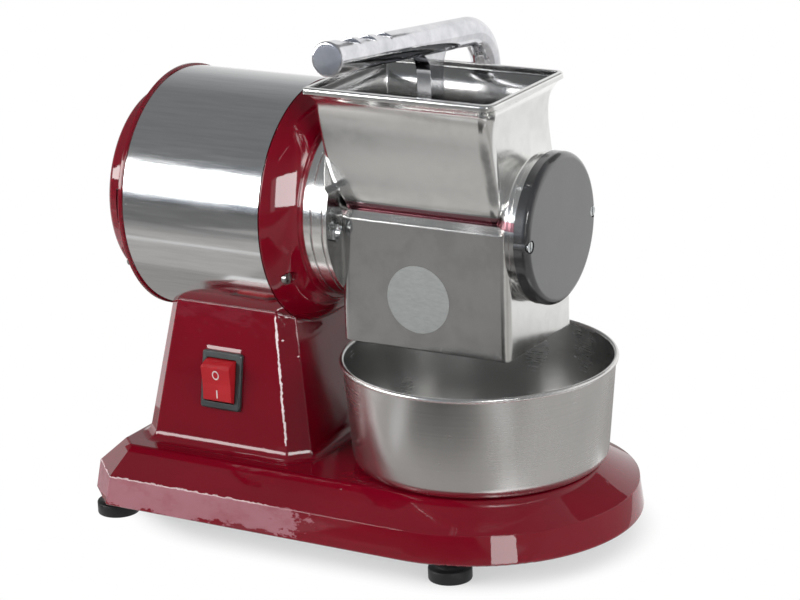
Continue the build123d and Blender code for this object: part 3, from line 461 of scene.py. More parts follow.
@dataclass(frozen=True)
class PaintedEdgeHighlight:
    """Ragged pale lines of painted highlight along the lacquer's edges.

    One runs up the pedestal's front edge, which leans with height, from its foot to its top, both
    given as X and Z. The other runs along the skirt's upper edge.
    """

    colour: Colour = (0.84, 0.72, 0.73)
    foot: Pair = (-31.0 * MM, 46.0 * MM)
    top: Pair = (-40.8 * MM, 110.0 * MM)
    left: float = 0.9 * MM
    right: float = 0.3 * MM
    ragged: float = 0.4 * MM
    border: float = 0.15 * MM
    foot_border: float = 1.0 * MM
    top_border: float = 2.0 * MM
    front: Pair = (-0.6, -0.5)
    skirt_z: float = 27.0 * MM
    skirt_line: Pair = (0.20 * MM, 0.35 * MM)
    skirt_ragged: float = 0.25 * MM
    skirt_fade: Pair = (-36.0 * MM, 24.0 * MM)
    skirt_share: float = 0.8
    skirt_front: Pair = (-0.4, -0.3)

    def skirt(self, paint: Paint, noise: Socket) -> Socket:
        """A fine line of painted highlight along the skirt's upper edge at the front, which fades
        towards the bowl.

        Args:
            paint: The lacquer's node tree.
            noise: The noise that moves the borders.

        Returns:
            The mask, 0 to 1.
        """
        shift = paint.spread(noise, MIDDLE, around(0.0, self.skirt_ragged))
        height = paint.total(paint.axis("Z"), shift)
        level, (near, far) = self.skirt_z, self.skirt_line
        line = paint.band(height, (level - far, level - near), (level + near, level + far))
        reach = paint.spread(paint.axis("X"), self.skirt_fade, (self.skirt_share, 0.0))
        front = paint.spread(paint.facing("Y"), self.skirt_front, DOWN)
        return paint.product(line, reach, front)

    def mask(self, paint: Paint) -> Socket:
        """Where the highlight is painted: strips along the edges, their borders moved by noise.

        Args:
            paint: The lacquer's node tree.

        Returns:
            The mask, 0 to 1.
        """
        lean = (self.foot[0] - self.top[0]) / (self.top[1] - self.foot[1])
        edge = self.foot[0] + lean * self.foot[1]
        noise = paint.noise(scale=380.0)
        shift = paint.spread(noise, MIDDLE, around(0.0, self.ragged))
        across = paint.total(paint.along((1.0, 0.0, lean)), shift)
        start, end = edge - self.left, edge + self.right
        strip = paint.band(across, around(start, self.border), around(end, self.border))
        rise = (self.foot[1] - self.foot_border, self.foot[1])
        fall = (self.top[1], self.top[1] + self.top_border)
        height = paint.band(paint.axis("Z"), rise, fall)
        front = paint.spread(paint.facing("Y"), self.front, DOWN)
        return paint.most(paint.product(strip, height, front), self.skirt(paint, noise))


@dataclass(frozen=True)
class Lacquer:
    """Thick gloss lacquer on a rough casting: orange peel, dust specks, a hard clear coat."""

    name: str
    deep: Colour = (0.165, 0.0012, 0.0095)
    light: Colour = (0.190, 0.0018, 0.0120)
    roughness: Pair = (0.10, 0.22)
    coat_roughness: float = 0.03
    coat_ior: float = 1.55
    edge: float = 0.9 * MM
    painted_reflection: Optional[PaintedReflection] = None
    rubbed: Optional[Rubbed] = None
    swelling: Optional[Swelling] = None
    wear_and_edge_highlight: Optional[PaintedEdgeHighlight] = None
    light_place: float = 0.2
    painted_reflection_place: float = 0.6
    casting_depth: float = 0.9 * MM
    peel_depth: float = 0.12 * MM
    dust_depth: float = 0.20 * MM

    def build(self) -> bpy.types.Material:
        """Makes the material: mottled red, waved by the casting, with dust in the coat, and where
        given a painted reflection patch and painted edge highlights.

        Returns:
            The material.
        """
        paint = Paint(self.name)
        tone = paint.spread(paint.noise(scale=11.0), (0.30, 0.72), (0.0, self.light_place))
        stops = [(0.0, self.deep), (self.light_place, self.light)]
        coat_roughness: Value = self.coat_roughness
        # A painted pale reflection is mixed into the colour, and the coat is duller there.
        if self.painted_reflection:
            mask = self.painted_reflection.mask(paint)
            tone = paint.most(tone, paint.spread(mask, UP, (0.0, self.painted_reflection_place)))
            stops.append((self.painted_reflection_place, self.painted_reflection.colour))
            dull = (self.coat_roughness, self.painted_reflection.coat_roughness)
            coat_roughness = paint.spread(mask, UP, dull)
        # Painted highlights: pale lines along the pedestal's front edge and the skirt's upper edge.
        if self.wear_and_edge_highlight:
            tone = paint.most(tone, self.wear_and_edge_highlight.mask(paint))
            stops.append((1.0, self.wear_and_edge_highlight.colour))
        flattened = paint.mapped((1.0, 1.0, 1.6))
        smear = paint.noise(scale=34.0, detail=5.0, roughness=0.62, where=flattened)
        normal = paint.soft_edges(self.edge)
        casting = paint.noise(scale=42.0, detail=2.0)
        peel = paint.noise(scale=420.0, detail=2.0)
        normal = paint.bump(casting, self.casting_depth, strength=0.20, normal=normal)
        normal = paint.bump(peel, self.peel_depth, strength=0.10, normal=normal)
        dust = paint.specks(scale=150.0, size=0.16)
        normal = paint.bump(dust, self.dust_depth, strength=0.16, normal=normal)
        if self.swelling:
            normal = self.swelling.tilt(paint, normal)
        return paint.give({
            "Base Color": paint.ramp(tone, stops),
            "Roughness": paint.spread(smear, (0.35, 0.75), self.roughness),
            "Normal": normal,
            "Specular IOR Level": 0.0,
            "Coat Weight": self.rubbed.coat(paint) if self.rubbed else 1.0,
            "Coat Roughness": coat_roughness,
            "Coat IOR": self.coat_ior,
            "Coat Normal": normal,
        })


@dataclass(frozen=True)
class PaintedHeadShade:
    """Painted shade on the head: its long side, the neck's end and the hopper's inside are darker,
    and the crease at the hopper's foot holds painted shade with a painted red reflection.

    Tones up to polish_place are polished. From there to the first shade place the metal darkens, up
    to the second one it darkens further, and at 1 it shows the painted red reflection.
    """

    dark: Colour = (0.39, 0.39, 0.39)
    bright: Colour = (0.44, 0.44, 0.435)
    painted_red_reflection: Colour = (0.27, 0.135, 0.155)
    polish_place: float = 0.3
    shade_places: Pair = (0.6, 0.9)
    chamber_top: float = 171.5 * MM
    border: float = 0.6 * MM
    chamber_end: Pair = (-0.6 * MM, 0.2 * MM)
    inner_y: Pair = (4.0 * MM, 6.0 * MM)
    inner_x: Pair = (22.0 * MM, 24.0 * MM)
    inner_z: Pair = (198.0 * MM, 202.0 * MM)
    foot_start: Pair = (170.9 * MM, 171.0 * MM)
    foot_end: Pair = (175.0 * MM, 177.6 * MM)
    front_facing: Pair = (-0.96, -0.80)
    neck_facing: Pair = (0.4, 0.6)
    back_facing: Pair = (-0.5, -0.4)
    side_facing: Pair = (0.3, 0.4)

    def tint(self, paint: Paint, lines: Socket, polish: Tuple[Colour, Colour]) -> Socket:
        """The metal's colour by its lines, with the painted shade and painted reflection by where it
        is.

        Args:
            paint: The metal's node tree.
            lines: The line noise.
            polish: The polished metal's dark and bright colour.

        Returns:
            The colour.
        """
        x, y, z = paint.axis("X"), paint.axis("Y"), paint.axis("Z")
        face_x, face_y = paint.facing("X"), paint.facing("Y")
        dull = self.shade_places[0]
        # The chamber's long side and the neck's end are painted darker, as shade.
        beside = paint.spread(x, self.chamber_end)
        below = paint.spread(z, around(self.chamber_top, self.border), (dull, 0.0))
        front = paint.product(paint.spread(face_y, self.front_facing, DOWN), beside, below)
        neck = paint.spread(x, self.chamber_end, (dull, 0.0))
        neck = paint.product(neck, paint.spread(face_x, self.neck_facing))
        tone = paint.spread(lines, LINES, (self.polish_place, 0.0))
        tone = paint.total(tone, paint.most(front, neck))
        # Painted shade inside the hopper, on its back wall and on its wall at the motor's side.
        back = paint.spread(face_y, self.back_facing, (dull, 0.0))
        back = paint.product(back, paint.spread(y, self.inner_y))
        side = paint.spread(face_x, self.side_facing, (0.0, dull))
        side = paint.product(side, paint.spread(x, self.inner_x, DOWN))
        inner = paint.product(paint.most(back, side), paint.spread(z, self.inner_z))
        # Painted shade and a painted red reflection in the crease at the hopper's foot.
        foot = paint.product(paint.band(z, self.foot_start, self.foot_end), beside)
        return paint.ramp(paint.most(tone, inner, foot), [
            (0.0, polish[1]), (self.polish_place, polish[0]), (dull, self.bright),
            (self.shade_places[1], self.dark), (1.0, self.painted_red_reflection),
        ])


@dataclass(frozen=True)
class WorkedMetal:
    """Bare metal with the marks of its working: lines, haze, slow waves and a few pits."""

    name: str
    dark: Colour
    bright: Colour
    roughness: Pair
    grain: Grain
    grain_scale: float
    line_depth: float = 0.02 * MM
    wave_depth: float = 0.0
    wave_scale: float = 30.0
    pits: float = 0.0
    pit_depth: float = 0.12 * MM
    edge: float = 0.0
    centre: Point = (0.0, 0.0, 164.0 * MM)
    painted_shade: Optional[PaintedHeadShade] = None

    def build(self) -> bpy.types.Material:
        """Makes the material: line noise along the grain drives tint, gloss and relief.

        Returns:
            The material.
        """
        paint = Paint(self.name)
        stretched = paint.mapped(self.grain.value, self.centre)
        lines = paint.noise(self.grain_scale, detail=4.0, roughness=0.6, where=stretched)
        haze = paint.noise(scale=16.0, detail=4.0, roughness=0.6)
        normal = paint.soft_edges(self.edge) if self.edge else None
        if self.wave_depth:
            wave = paint.noise(self.wave_scale, detail=1.5, roughness=0.4)
            normal = paint.bump(wave, self.wave_depth, normal=normal)
        normal = paint.bump(lines, self.line_depth, strength=0.4, normal=normal)
        if self.pits:
            pit = paint.specks(scale=220.0, size=0.10)
            normal = paint.bump(pit, -self.pit_depth, strength=self.pits, normal=normal)
        # Painted shade and painted reflection, where the finish has them.
        if self.painted_shade:
            colour = self.painted_shade.tint(paint, lines, (self.dark, self.bright))
        else:
            colour = paint.ramp(lines, list(zip(LINES, (self.dark, self.bright))))
        return paint.give({
            "Base Color": colour,
            "Roughness": paint.spread(paint.product(lines, haze), (0.12, 0.42), self.roughness),
            "Normal": normal,
            "Metallic": 1.0,
        })


@dataclass(frozen=True)
class Moulding:
    """Moulded plastic or rubber: fine grain, cloudy gloss and rubbed edges."""

    name: str
    dark: Colour
    light: Colour
    roughness: Pair
    grain_depth: float = 0.03 * MM
    grain_scale: float = 900.0
    coat: float = 0.0
    coat_roughness: float = 0.08
    coat_ior: float = 1.5
    edge: float = 0.4 * MM
    specular: float = 0.5

    def build(self) -> bpy.types.Material:
        """Makes the material: two scales of noise drive colour, gloss and grain.

        Returns:
            The material.
        """
        paint = Paint(self.name)
        cloud = paint.noise(scale=45.0, detail=5.0, roughness=0.6)
        grain = paint.noise(self.grain_scale, detail=2.0)
        edges = paint.soft_edges(self.edge)
        return paint.give({
            "Base Color": paint.ramp(cloud, list(zip(MIDDLE, (self.dark, self.light)))),
            "Roughness": paint.spread(cloud, MIDDLE, self.roughness),
            "Normal": paint.bump(grain, self.grain_depth, strength=0.5, normal=edges),
            "Specular IOR Level": self.specular,
            "Coat Weight": self.coat,
            "Coat Roughness": self.coat_roughness,
            "Coat IOR": self.coat_ior,
        })


@dataclass(frozen=True)
class Windings:
    """Varnished copper wire, wound round the motor's axis."""

    name: str
    gap: Colour = (0.16, 0.05, 0.02)
    wire: Colour = (0.66, 0.30, 0.14)
    wire_depth: float = 0.4 * MM
    roughness: Pair = (0.5, 0.28)
    metallic: float = 0.9

    def build(self) -> bpy.types.Material:
        """Makes the material: bands along the axis stand for the turns of wire.

        Returns:
            The material.
        """
        paint = Paint(self.name)
        band = paint.add("TexWave", {
            "Vector": paint.coordinates, "Scale": 180.0, "Distortion": 3.0, "Detail Scale": 2.0,
        }, bands_direction="X")
        turns = band.outputs["Fac"]
        return paint.give({
            "Base Color": paint.ramp(turns, [(0.1, self.gap), (0.6, self.wire)]),
            "Roughness": paint.spread(turns, UP, self.roughness),
            "Normal": paint.bump(turns, self.wire_depth, strength=0.8),
            "Metallic": self.metallic,
        })


@dataclass(frozen=True)
class SpunSteel:
    """Satin sheet steel spun round an upright axis: fine rings, soft upright smudges, and painted
    shade on the inside.
    """

    name: str
    centre: Point
    dark: Colour = (0.72, 0.71, 0.70)
    bright: Colour = (0.82, 0.81, 0.795)
    painted_inside_shade: Colour = (0.45, 0.45, 0.445)
    roughness: Pair = (0.22, 0.29)
    inward: Pair = (-12.0 * MM, -4.0 * MM)
    wave_depth: float = 0.5 * MM
    ring_depth: float = 0.01 * MM

    def build(self) -> bpy.types.Material:
        """Makes the material: rings from radius and height, smudges from noise drawn out upright.

        The inside, which is painted darker as shade, is where the way from the axis and the
        surface's direction are opposed.

        Returns:
            The material.
        """
        paint = Paint(self.name)
        flat = paint.mapped((1.0, 1.0, 0.0), self.centre)
        radius = paint.vector("LENGTH", flat)["Value"]
        place = paint.add("CombineXYZ", {"X": radius, "Y": paint.axis("Z")}).outputs["Vector"]
        rings = paint.noise(scale=1500.0, roughness=0.6, where=place)
        tall, long = (paint.mapped((1.0, 1.0, way), self.centre) for way in (0.35, 0.5))
        smudge = paint.noise(scale=26.0, detail=4.0, where=tall)
        tone = paint.total(paint.spread(rings, MIDDLE, (0.0, 0.12)), smudge)
        # Painted shade: the bowl's inside is darker.
        outward = paint.vector("DOT_PRODUCT", flat, paint.normal())["Value"]
        inside_shade_share = paint.spread(outward, self.inward, (0.6, 0.0))
        wear_and_edge_highlight: Pair = (0.35, 0.85)
        shade = paint.total(paint.spread(tone, wear_and_edge_highlight, (0.4, 0.0)), inside_shade_share)
        colours = (self.bright, self.dark, self.painted_inside_shade, self.painted_inside_shade)
        wave = paint.noise(scale=34.0, detail=1.0, roughness=0.4, where=long)
        normal = paint.bump(wave, self.wave_depth, strength=0.6)
        return paint.give({
            "Base Color": paint.ramp(shade, list(zip((0.0, 0.4, 0.6, 1.0), colours))),
            "Roughness": paint.spread(tone, wear_and_edge_highlight, self.roughness),
            "Normal": paint.bump(rings, self.ring_depth, strength=0.12, normal=normal),
            "Metallic": 1.0,
        })


@dataclass(frozen=True)
class StickerPaper:
    """The blank round sticker: pale film over paper, a little gloss."""

    name: str
    shade: Colour = (0.27, 0.285, 0.28)
    pale: Colour = (0.32, 0.335, 0.33)
    roughness: Pair = (0.3, 0.42)
    bubble_depth: float = 0.2 * MM

    def build(self) -> bpy.types.Material:
        """Makes the material: fibres in the paper and small bubbles under the film.

        Returns:
            The material.
        """
        paint = Paint(self.name)
        flattened = paint.mapped((1.0, 1.0, 3.0))
        fibre = paint.noise(scale=300.0, detail=4.0, roughness=0.6, where=flattened)
        bubble = paint.noise(scale=120.0, detail=1.0)
        return paint.give({
            "Base Color": paint.ramp(fibre, list(zip(MIDDLE, (self.shade, self.pale)))),
            "Roughness": paint.spread(fibre, MIDDLE, self.roughness),
            "Normal": paint.bump(bubble, self.bubble_depth, strength=0.15),
        })


class Finish(Enum):
    """Every finish of the machine."""

    LACQUER = Lacquer("crimson_lacquer")
    # The base's lacquer carries a painted reflection patch and painted edge highlights.
    BASE_LACQUER = Lacquer(
        "crimson_base_lacquer", painted_reflection=PaintedReflection(), swelling=Swelling(), wear_and_edge_highlight=PaintedEdgeHighlight(),
        rubbed=Rubbed(foot_z=35.6 * MM, top_z=39.4 * MM, plane_y=-60.0 * MM),
    )
    RING_LACQUER = Lacquer("crimson_ring_lacquer", rubbed=Rubbed(
        foot_z=189.0 * MM, top_z=240.0 * MM, plane_y=-12.0 * MM, gloss=0.42, border=16.0 * MM,
    ))
    MIRROR = WorkedMetal(
        "mirror_steel", (0.66, 0.665, 0.67), (0.72, 0.725, 0.73), (0.09, 0.15),
        Grain.ALONG_X, 9.0, line_depth=0.003 * MM, wave_depth=0.02 * MM, wave_scale=14.0,
    )
    # The head's casting carries painted shade and a painted red reflection.
    CASTING = WorkedMetal(
        "polished_aluminium", (0.84, 0.84, 0.825), (0.90, 0.90, 0.885), (0.14, 0.22),
        Grain.EVEN, 3.0, line_depth=0.003 * MM, wave_depth=0.06 * MM, pits=0.06,
        edge=1.0 * MM, painted_shade=PaintedHeadShade(),
    )
    LEVER = WorkedMetal(
        "polished_lever", (0.60, 0.605, 0.635), (0.79, 0.79, 0.82), (0.05, 0.10),
        Grain.EVEN, 3.2, line_depth=0.012 * MM, wave_depth=0.07 * MM, wave_scale=45.0,
        pits=0.06, edge=0.6 * MM,
    )
    RAW_CASTING = WorkedMetal(
        "raw_aluminium", (0.42, 0.43, 0.44), (0.62, 0.63, 0.64), (0.34, 0.5),
        Grain.ROUND_X, 14.0, line_depth=0.03 * MM, pits=0.4,
    )
    GROUND = WorkedMetal(
        "ground_steel", (0.42, 0.42, 0.43), (0.62, 0.62, 0.63), (0.2, 0.34), Grain.ROUND_X, 16.0,
    )
    SATIN = WorkedMetal(
        "satin_steel", (0.44, 0.43, 0.42), (0.64, 0.63, 0.61), (0.26, 0.4), Grain.ROUND_X, 14.0,
    )
    ZINC = WorkedMetal(
        "zinc_steel", (0.42, 0.44, 0.45), (0.68, 0.70, 0.70), (0.18, 0.34),
        Grain.EVEN, 14.0, pits=0.2, edge=0.25 * MM,
    )
    WORN_ZINC = WorkedMetal(
        "worn_zinc", (0.20, 0.20, 0.20), (0.42, 0.42, 0.41), (0.24, 0.40),
        Grain.EVEN, 20.0, pits=0.3, edge=0.3 * MM,
    )
    SHEET = WorkedMetal(
        "zinc_sheet", (0.40, 0.41, 0.43), (0.60, 0.61, 0.63), (0.3, 0.46),
        Grain.EVEN, 5.0, pits=0.1,
    )
    LAMINATIONS = WorkedMetal(
        "dark_steel", (0.10, 0.10, 0.105), (0.24, 0.24, 0.25), (0.35, 0.5),
        Grain.ROUND_X, 26.0, line_depth=0.05 * MM,
    )
    BRASS = WorkedMetal(
        "brass", (0.50, 0.35, 0.13), (0.78, 0.58, 0.26), (0.2, 0.36), Grain.ALONG_X, 14.0,
    )
    BRONZE = WorkedMetal(
        "bronze", (0.38, 0.25, 0.11), (0.62, 0.44, 0.23), (0.3, 0.45),
        Grain.ROUND_X, 16.0, pits=0.3,
    )
    WINDINGS = Windings("copper_windings")
    SPUN = SpunSteel("spun_steel", (56.5 * MM, 0.0, 0.0))
    BLACK_PLASTIC = Moulding(
        "black_plastic", (0.014, 0.014, 0.016), (0.020, 0.020, 0.023), (0.30, 0.40),
        coat=1.0, coat_ior=1.85,
    )
    SLATE_PLASTIC = Moulding(
        "slate_plastic", (0.022, 0.028, 0.029), (0.034, 0.042, 0.043), (0.3, 0.4),
    )
    GREY_PLASTIC = Moulding(
        "grey_plastic", (0.38, 0.38, 0.39), (0.48, 0.48, 0.49), (0.4, 0.5),
    )
    RED_PLASTIC = Moulding(
        "red_plastic", (0.37, 0.006, 0.013), (0.45, 0.012, 0.019), (0.34, 0.44),
        grain_depth=0.01 * MM, specular=0.3,
    )
    RUBBER = Moulding(
        "rubber", (0.004, 0.004, 0.0045), (0.009, 0.009, 0.010), (0.42, 0.56),
        grain_depth=0.05 * MM, grain_scale=700.0, specular=0.3,
    )
    PRINT = Moulding("white_print", (0.72, 0.70, 0.68), (0.86, 0.84, 0.82), (0.35, 0.45))
    PAPER = StickerPaper("sticker_paper")


Materials = Dict[Finish, bpy.types.Material]
Wears = ClassVar[Dict[Finish, Tuple[str, ...]]]


def index_table(points: np.ndarray) -> Tuple[np.ndarray, np.ndarray]:
    """Each point's index by ring and place, and the index of the next point round the ring."""
    table = np.arange(points.shape[0] * points.shape[1]).reshape(points.shape[:2])
    return table, np.roll(table, -1, axis=1)


def closed_rows(points: np.ndarray, start: Point, end: Point) -> Surface:
    """Closes a stack of rings with a point at either end.

    Ring i and ring i + 1 are joined by four-sided faces whose corners are rows of one index table,
    shifted by one place round the ring. The end points are joined to the first and the last ring by
    triangles.

    Args:
        points: Rings by points by 3.
        start: The point before the first ring.
        end: The point after the last ring.

    Returns:
        The vertices, and the faces in blocks with the same number of corners.
    """
    table, ahead = index_table(points)
    quads = np.stack([table[:-1], ahead[:-1], ahead[1:], table[1:]], axis=-1).reshape(-1, 4)
    head = np.stack([np.full_like(table[0], table.size), ahead[0], table[0]], axis=-1)
    tail = np.stack([np.full_like(table[0], table.size + 1), table[-1], ahead[-1]], axis=-1)
    return np.concatenate([points.reshape(-1, 3), [start], [end]]), [quads, head, tail]


def closed_tube(points: np.ndarray) -> Surface:
    """Closes a grid that comes round on itself both ways, as a ring of a round section does.

    Args:
        points: Rings by points by 3, neither repeated at the end.

    Returns:
        The vertices, and the faces in one block.
    """
    table, ahead = index_table(points)
    rows = [table, ahead, np.roll(ahead, -1, axis=0), np.roll(table, -1, axis=0)]
    return points.reshape(-1, 3), [np.stack(rows, axis=-1).reshape(-1, 4)]


def full_turn(count: int) -> np.ndarray:
    """Angles evenly spaced round a full turn."""
    return np.linspace(0.0, 2.0 * np.pi, count, endpoint=False)


def new_piece(
    name: str, surface: Surface, place: Matrix, material: bpy.types.Material
) -> bpy.types.Object:
    """Puts a closed surface into the scene, with its faces turned outwards.

    The surface's volume is the sum of the triple products of its triangles' corners, and a negative
    one means that the faces point inwards, so their order is turned round.

    Args:
        name: The piece's name.
        surface: Vertices and blocks of faces in the piece's own axes.
        place: Where those axes stand.
        material: The finish.

    Returns:
        The new object, at the origin, with its place in its mesh.
    """
    vertices, blocks = surface
    turn = np.array(place)
    placed = vertices @ turn[:3, :3].T + turn[:3, 3]
    fans = [block[:, (0, i, i + 1)] for block in blocks for i in range(1, block.shape[1] - 1)]
    corners = placed[np.concatenate(fans)] - placed.mean(axis=0)
    if np.linalg.det(corners).sum() < 0:
        blocks = [block[:, ::-1] for block in blocks]
    mesh = bpy.data.meshes.new(name)
    mesh.from_pydata(placed.tolist(), [], [face for block in blocks for face in block.tolist()])
    mesh.polygons.foreach_set("use_smooth", np.ones(len(mesh.polygons), dtype=bool))
    mesh.materials.append(material)
    mesh.update()
    piece = bpy.data.objects.new(name, mesh)
    bpy.context.scene.collection.objects.link(piece)
    LOG.info("built %s", name)
    return piece


def axes_at(origin: Point, across: Point, up: Point, out: Point) -> Matrix:
    """The matrix from three axes of length 1 at an origin to the machine's axes."""
    rows = np.column_stack([across, up, out, origin])
    return Matrix([*rows.tolist(), (0.0, 0.0, 0.0, 1.0)])


def upright_frame(origin: Point, across: Point, out: Point) -> Matrix:
    """Axes on a wall: the first along it, the third out of it.

    Args:
        origin: Where the axes stand.
        across: The first axis.
        out: The third axis.

    Returns:
        The matrix from those axes to the machine's.
    """
    first, third = (np.array(way) / np.linalg.norm(way) for way in (across, out))
    return axes_at(origin, first, np.cross(third, first), third)


@dataclass
class SubAssembly:
    """Pieces of the machine that belong together, and the finishes that their nodes wear."""

    wears: Wears = {}

    def build(self, materials: Materials) -> None:
        """Adds nothing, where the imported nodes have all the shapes."""

    def dress(self, frame: Frame, materials: Materials) -> None:
        """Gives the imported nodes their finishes.

        Args:
            frame: The loaded frame.
            materials: The finishes' materials.
        """
        for finish, nodes in self.wears.items():
            for node in nodes:
                piece = frame["nodes"][node]
                if not piece.material_slots:
                    piece.data.materials.append(materials[finish])
                for place in piece.material_slots:
                    place.material = materials[finish]
                LOG.info("dressed %s in %s", node, finish.value.name)


@dataclass
class Base(SubAssembly):
    """The lacquered casting on its feet, the sheet below it and what stands in the pedestal."""

    wears: Wears = {
        Finish.BASE_LACQUER: ("base_casting",),
        Finish.RUBBER: ("rubber_feet", "cable_grommet"),
        Finish.SHEET: ("bottom_cover",),
        Finish.ZINC: ("foot_screws", "saddle_bolts"),
        Finish.GREY_PLASTIC: ("run_capacitor",),
        Finish.BLACK_PLASTIC: ("terminal_block",),
    }
    foot_radius: float = 11.0 * MM
    foot_height: float = 11.6 * MM
    foot_edge: float = 0.7 * MM
    rim_share: float = 0.3
    disc_height: float = 6.6 * MM
    neck_radius: float = 7.6 * MM
    well_radius: float = 5.0 * MM
    bore_radius: float = 2.4 * MM
    rear_across: float = 63.4 * MM
    front_across: float = 67.5 * MM
    facets: int = 64

    def build(self, materials: Materials) -> None:
        """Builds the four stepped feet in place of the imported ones.

        Args:
            materials: The finishes' materials.
        """
        surface, material = self.feet_surface(), materials[Finish.RUBBER]
        piece = new_piece("stepped_feet", surface, Matrix.Identity(4), material)
        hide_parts("rubber_feet")
        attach(piece, Body.MACHINE.value)

    def feet_surface(self) -> Surface:
        """Four feet: a profile of radius and height, turned about each foot's own upright axis.

        A wide disc with rounded rims stands on the floor, a narrower neck rises from it to the
        casting, and a stepped well from below takes the screw. The point at turn t is the centre
        plus the radius times (cos t, sin t).

        Returns:
            The vertices, and the faces in one block.
        """
        wide, edge, top, disc = self.foot_radius, self.foot_edge, self.foot_height, self.disc_height
        nick = self.rim_share * edge
        radius, height = np.array([
            (self.bore_radius, top), (self.neck_radius, top), (self.neck_radius, disc + edge),
            (self.neck_radius + edge, disc), (wide - edge, disc), (wide - nick, disc - nick),
            (wide, disc - edge), (wide, edge), (wide - nick, nick), (wide - edge, 0.0),
            (self.well_radius, 0.0), (self.well_radius, top / 2.0), (self.bore_radius, top / 2.0),
        ]).T
        turn = full_turn(self.facets)[:, None]
        level = np.broadcast_to(height, (self.facets, height.size))
        foot = np.stack([np.cos(turn) * radius, np.sin(turn) * radius, level], axis=-1)
        points, (quads,) = closed_tube(foot)
        low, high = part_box("rubber_feet")
        rear, front = low[0] + wide, high[0] - wide
        centres = np.array([
            (rear, -self.rear_across, 0.0), (rear, self.rear_across, 0.0),
            (front, -self.front_across, 0.0), (front, self.front_across, 0.0),
        ])
        first = len(points) * np.arange(len(centres))
        faces = (first[:, None, None] + quads).reshape(-1, 4)
        return (centres[:, None] + points).reshape(-1, 3), [faces]


@dataclass
class Switch(SubAssembly):
    """The rocker switch on the pedestal's long side, with its ring and line marks."""

    wears: Wears = {
        Finish.SLATE_PLASTIC: ("switch_housing",),
        Finish.RED_PLASTIC: ("switch_rocker",),
        Finish.BRASS: ("switch_terminals",),
    }
    centre: Point = (-70.9 * MM, -42.254 * MM, 74.0 * MM)
    out: Point = (0.0, -0.985282, 0.170946)
    tilt: float = math.radians(13.0)
    flat_rise: float = 6.2 * MM
    flat_slope: float = math.radians(3.053)
    ring_place: float = 5.0 * MM
    ring_radius: float = 1.75 * MM
    ring_width: float = 0.62 * MM
    ring_stretch: float = 1.25
    ring_facets: Tuple[int, int] = (64, 12)
    line_place: float = -5.5 * MM
    line_length: float = 4.6 * MM
    line_width: float = 0.75 * MM
    line_facets: Tuple[int, int] = (7, 32)
    line_ends: float = 8.0
    line_arc: float = 0.45 * math.pi
    ink: float = 0.05 * MM

    def flat_frame(self, side: int, place: float) -> Matrix:
        """Axes on one of the rocker's two flats.

        The flats rise from the middle towards both ends by the same slope, and the whole rocker is
        tipped.

        Args:
            side: 1 for the upper flat, -1 for the lower one.
            place: The distance from the middle, up along the rocker.

        Returns:
            The matrix from the flat's axes to the machine's.
        """
        seat = upright_frame(self.centre, (1.0, 0.0, 0.0), self.out)
        tip = Matrix.Rotation(self.tilt, 4, "X")
        rise = self.flat_rise + abs(place) * math.tan(self.flat_slope)
        slope = Matrix.Rotation(side * self.flat_slope, 4, "X")
        return seat @ tip @ (Matrix.Translation((0.0, place, rise)) @ slope)

    def build(self, materials: Materials) -> None:
        """Makes the two marks and lets them ride on the rocker.

        Args:
            materials: The finishes' materials.
        """
        upper, lower = self.flat_frame(1, self.ring_place), self.flat_frame(-1, self.line_place)
        ring = new_piece("off_mark", self.ring_surface(), upper, materials[Finish.PRINT])
        line = new_piece("on_mark", self.line_surface(), lower, materials[Finish.PRINT])
        for piece in (ring, line):
            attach(piece, Body.ROCKER.value)

    def ring_surface(self) -> Surface:
        """A flat ring: a low oval section carried round an upright oval.

        A point is the ring's radius plus half the width times the cosine of the section angle,
        turned by the ring angle and stretched upwards. Its height is the ink's thickness times the
        sine of the section angle.

        Returns:
            The vertices, and the faces in one block.
        """
        turn, section = (full_turn(count) for count in self.ring_facets)
        turn = turn[:, None]
        radius = self.ring_radius + 0.5 * self.ring_width * np.cos(section)
        height = np.broadcast_to(self.ink * np.sin(section), self.ring_facets)
        upward = self.ring_stretch * radius * np.sin(turn)
        return closed_tube(np.stack([radius * np.cos(turn), upward, height], axis=-1))

    def line_surface(self) -> Surface:
        """An upright stroke with round ends: circles of ink shrunk to a top and a bottom point.

        Each ring is a circle of half the stroke's width whose upper and lower halves are moved
        apart by the rest of the length. The rings' scale is the root of the cosine and their height
        the sine of an angle from below to above.

        Returns:
            The vertices and the faces.
        """
        rings, points = self.line_facets
        angle = np.linspace(-self.line_arc, self.line_arc, rings)[:, None]
        turn = full_turn(points)
        half = 0.5 * self.line_width * np.cos(angle) ** 0.5
        run = 0.5 * (self.line_length - self.line_width)
        upward = half * np.sin(turn) + run * np.tanh(self.line_ends * np.sin(turn))
        height = np.broadcast_to(self.ink * np.sin(angle), self.line_facets)
        stroke = np.stack([half * np.cos(turn), upward, height], axis=-1)
        return closed_rows(stroke, (0.0, 0.0, -self.ink), (0.0, 0.0, self.ink))


@dataclass
class Motor(SubAssembly):
    """The motor in its polished sleeve between the lacquered ring and the lacquered rear cap."""

    wears: Wears = {
        Finish.MIRROR: ("motor_sleeve",),
        Finish.RING_LACQUER: ("front_ring",),
        Finish.LACQUER: ("rear_cap",),
        Finish.WORN_ZINC: ("ring_screws", "rear_cap_screws"),
        Finish.GROUND: ("motor_shaft", "rear_bearing", "front_bearing"),
        Finish.RAW_CASTING: ("motor_frame", "rear_shield"),
        Finish.LAMINATIONS: ("stator_core", "rotor_core"),
        Finish.WINDINGS: ("stator_windings",),
        Finish.BLACK_PLASTIC: ("cooling_fan",),
    }


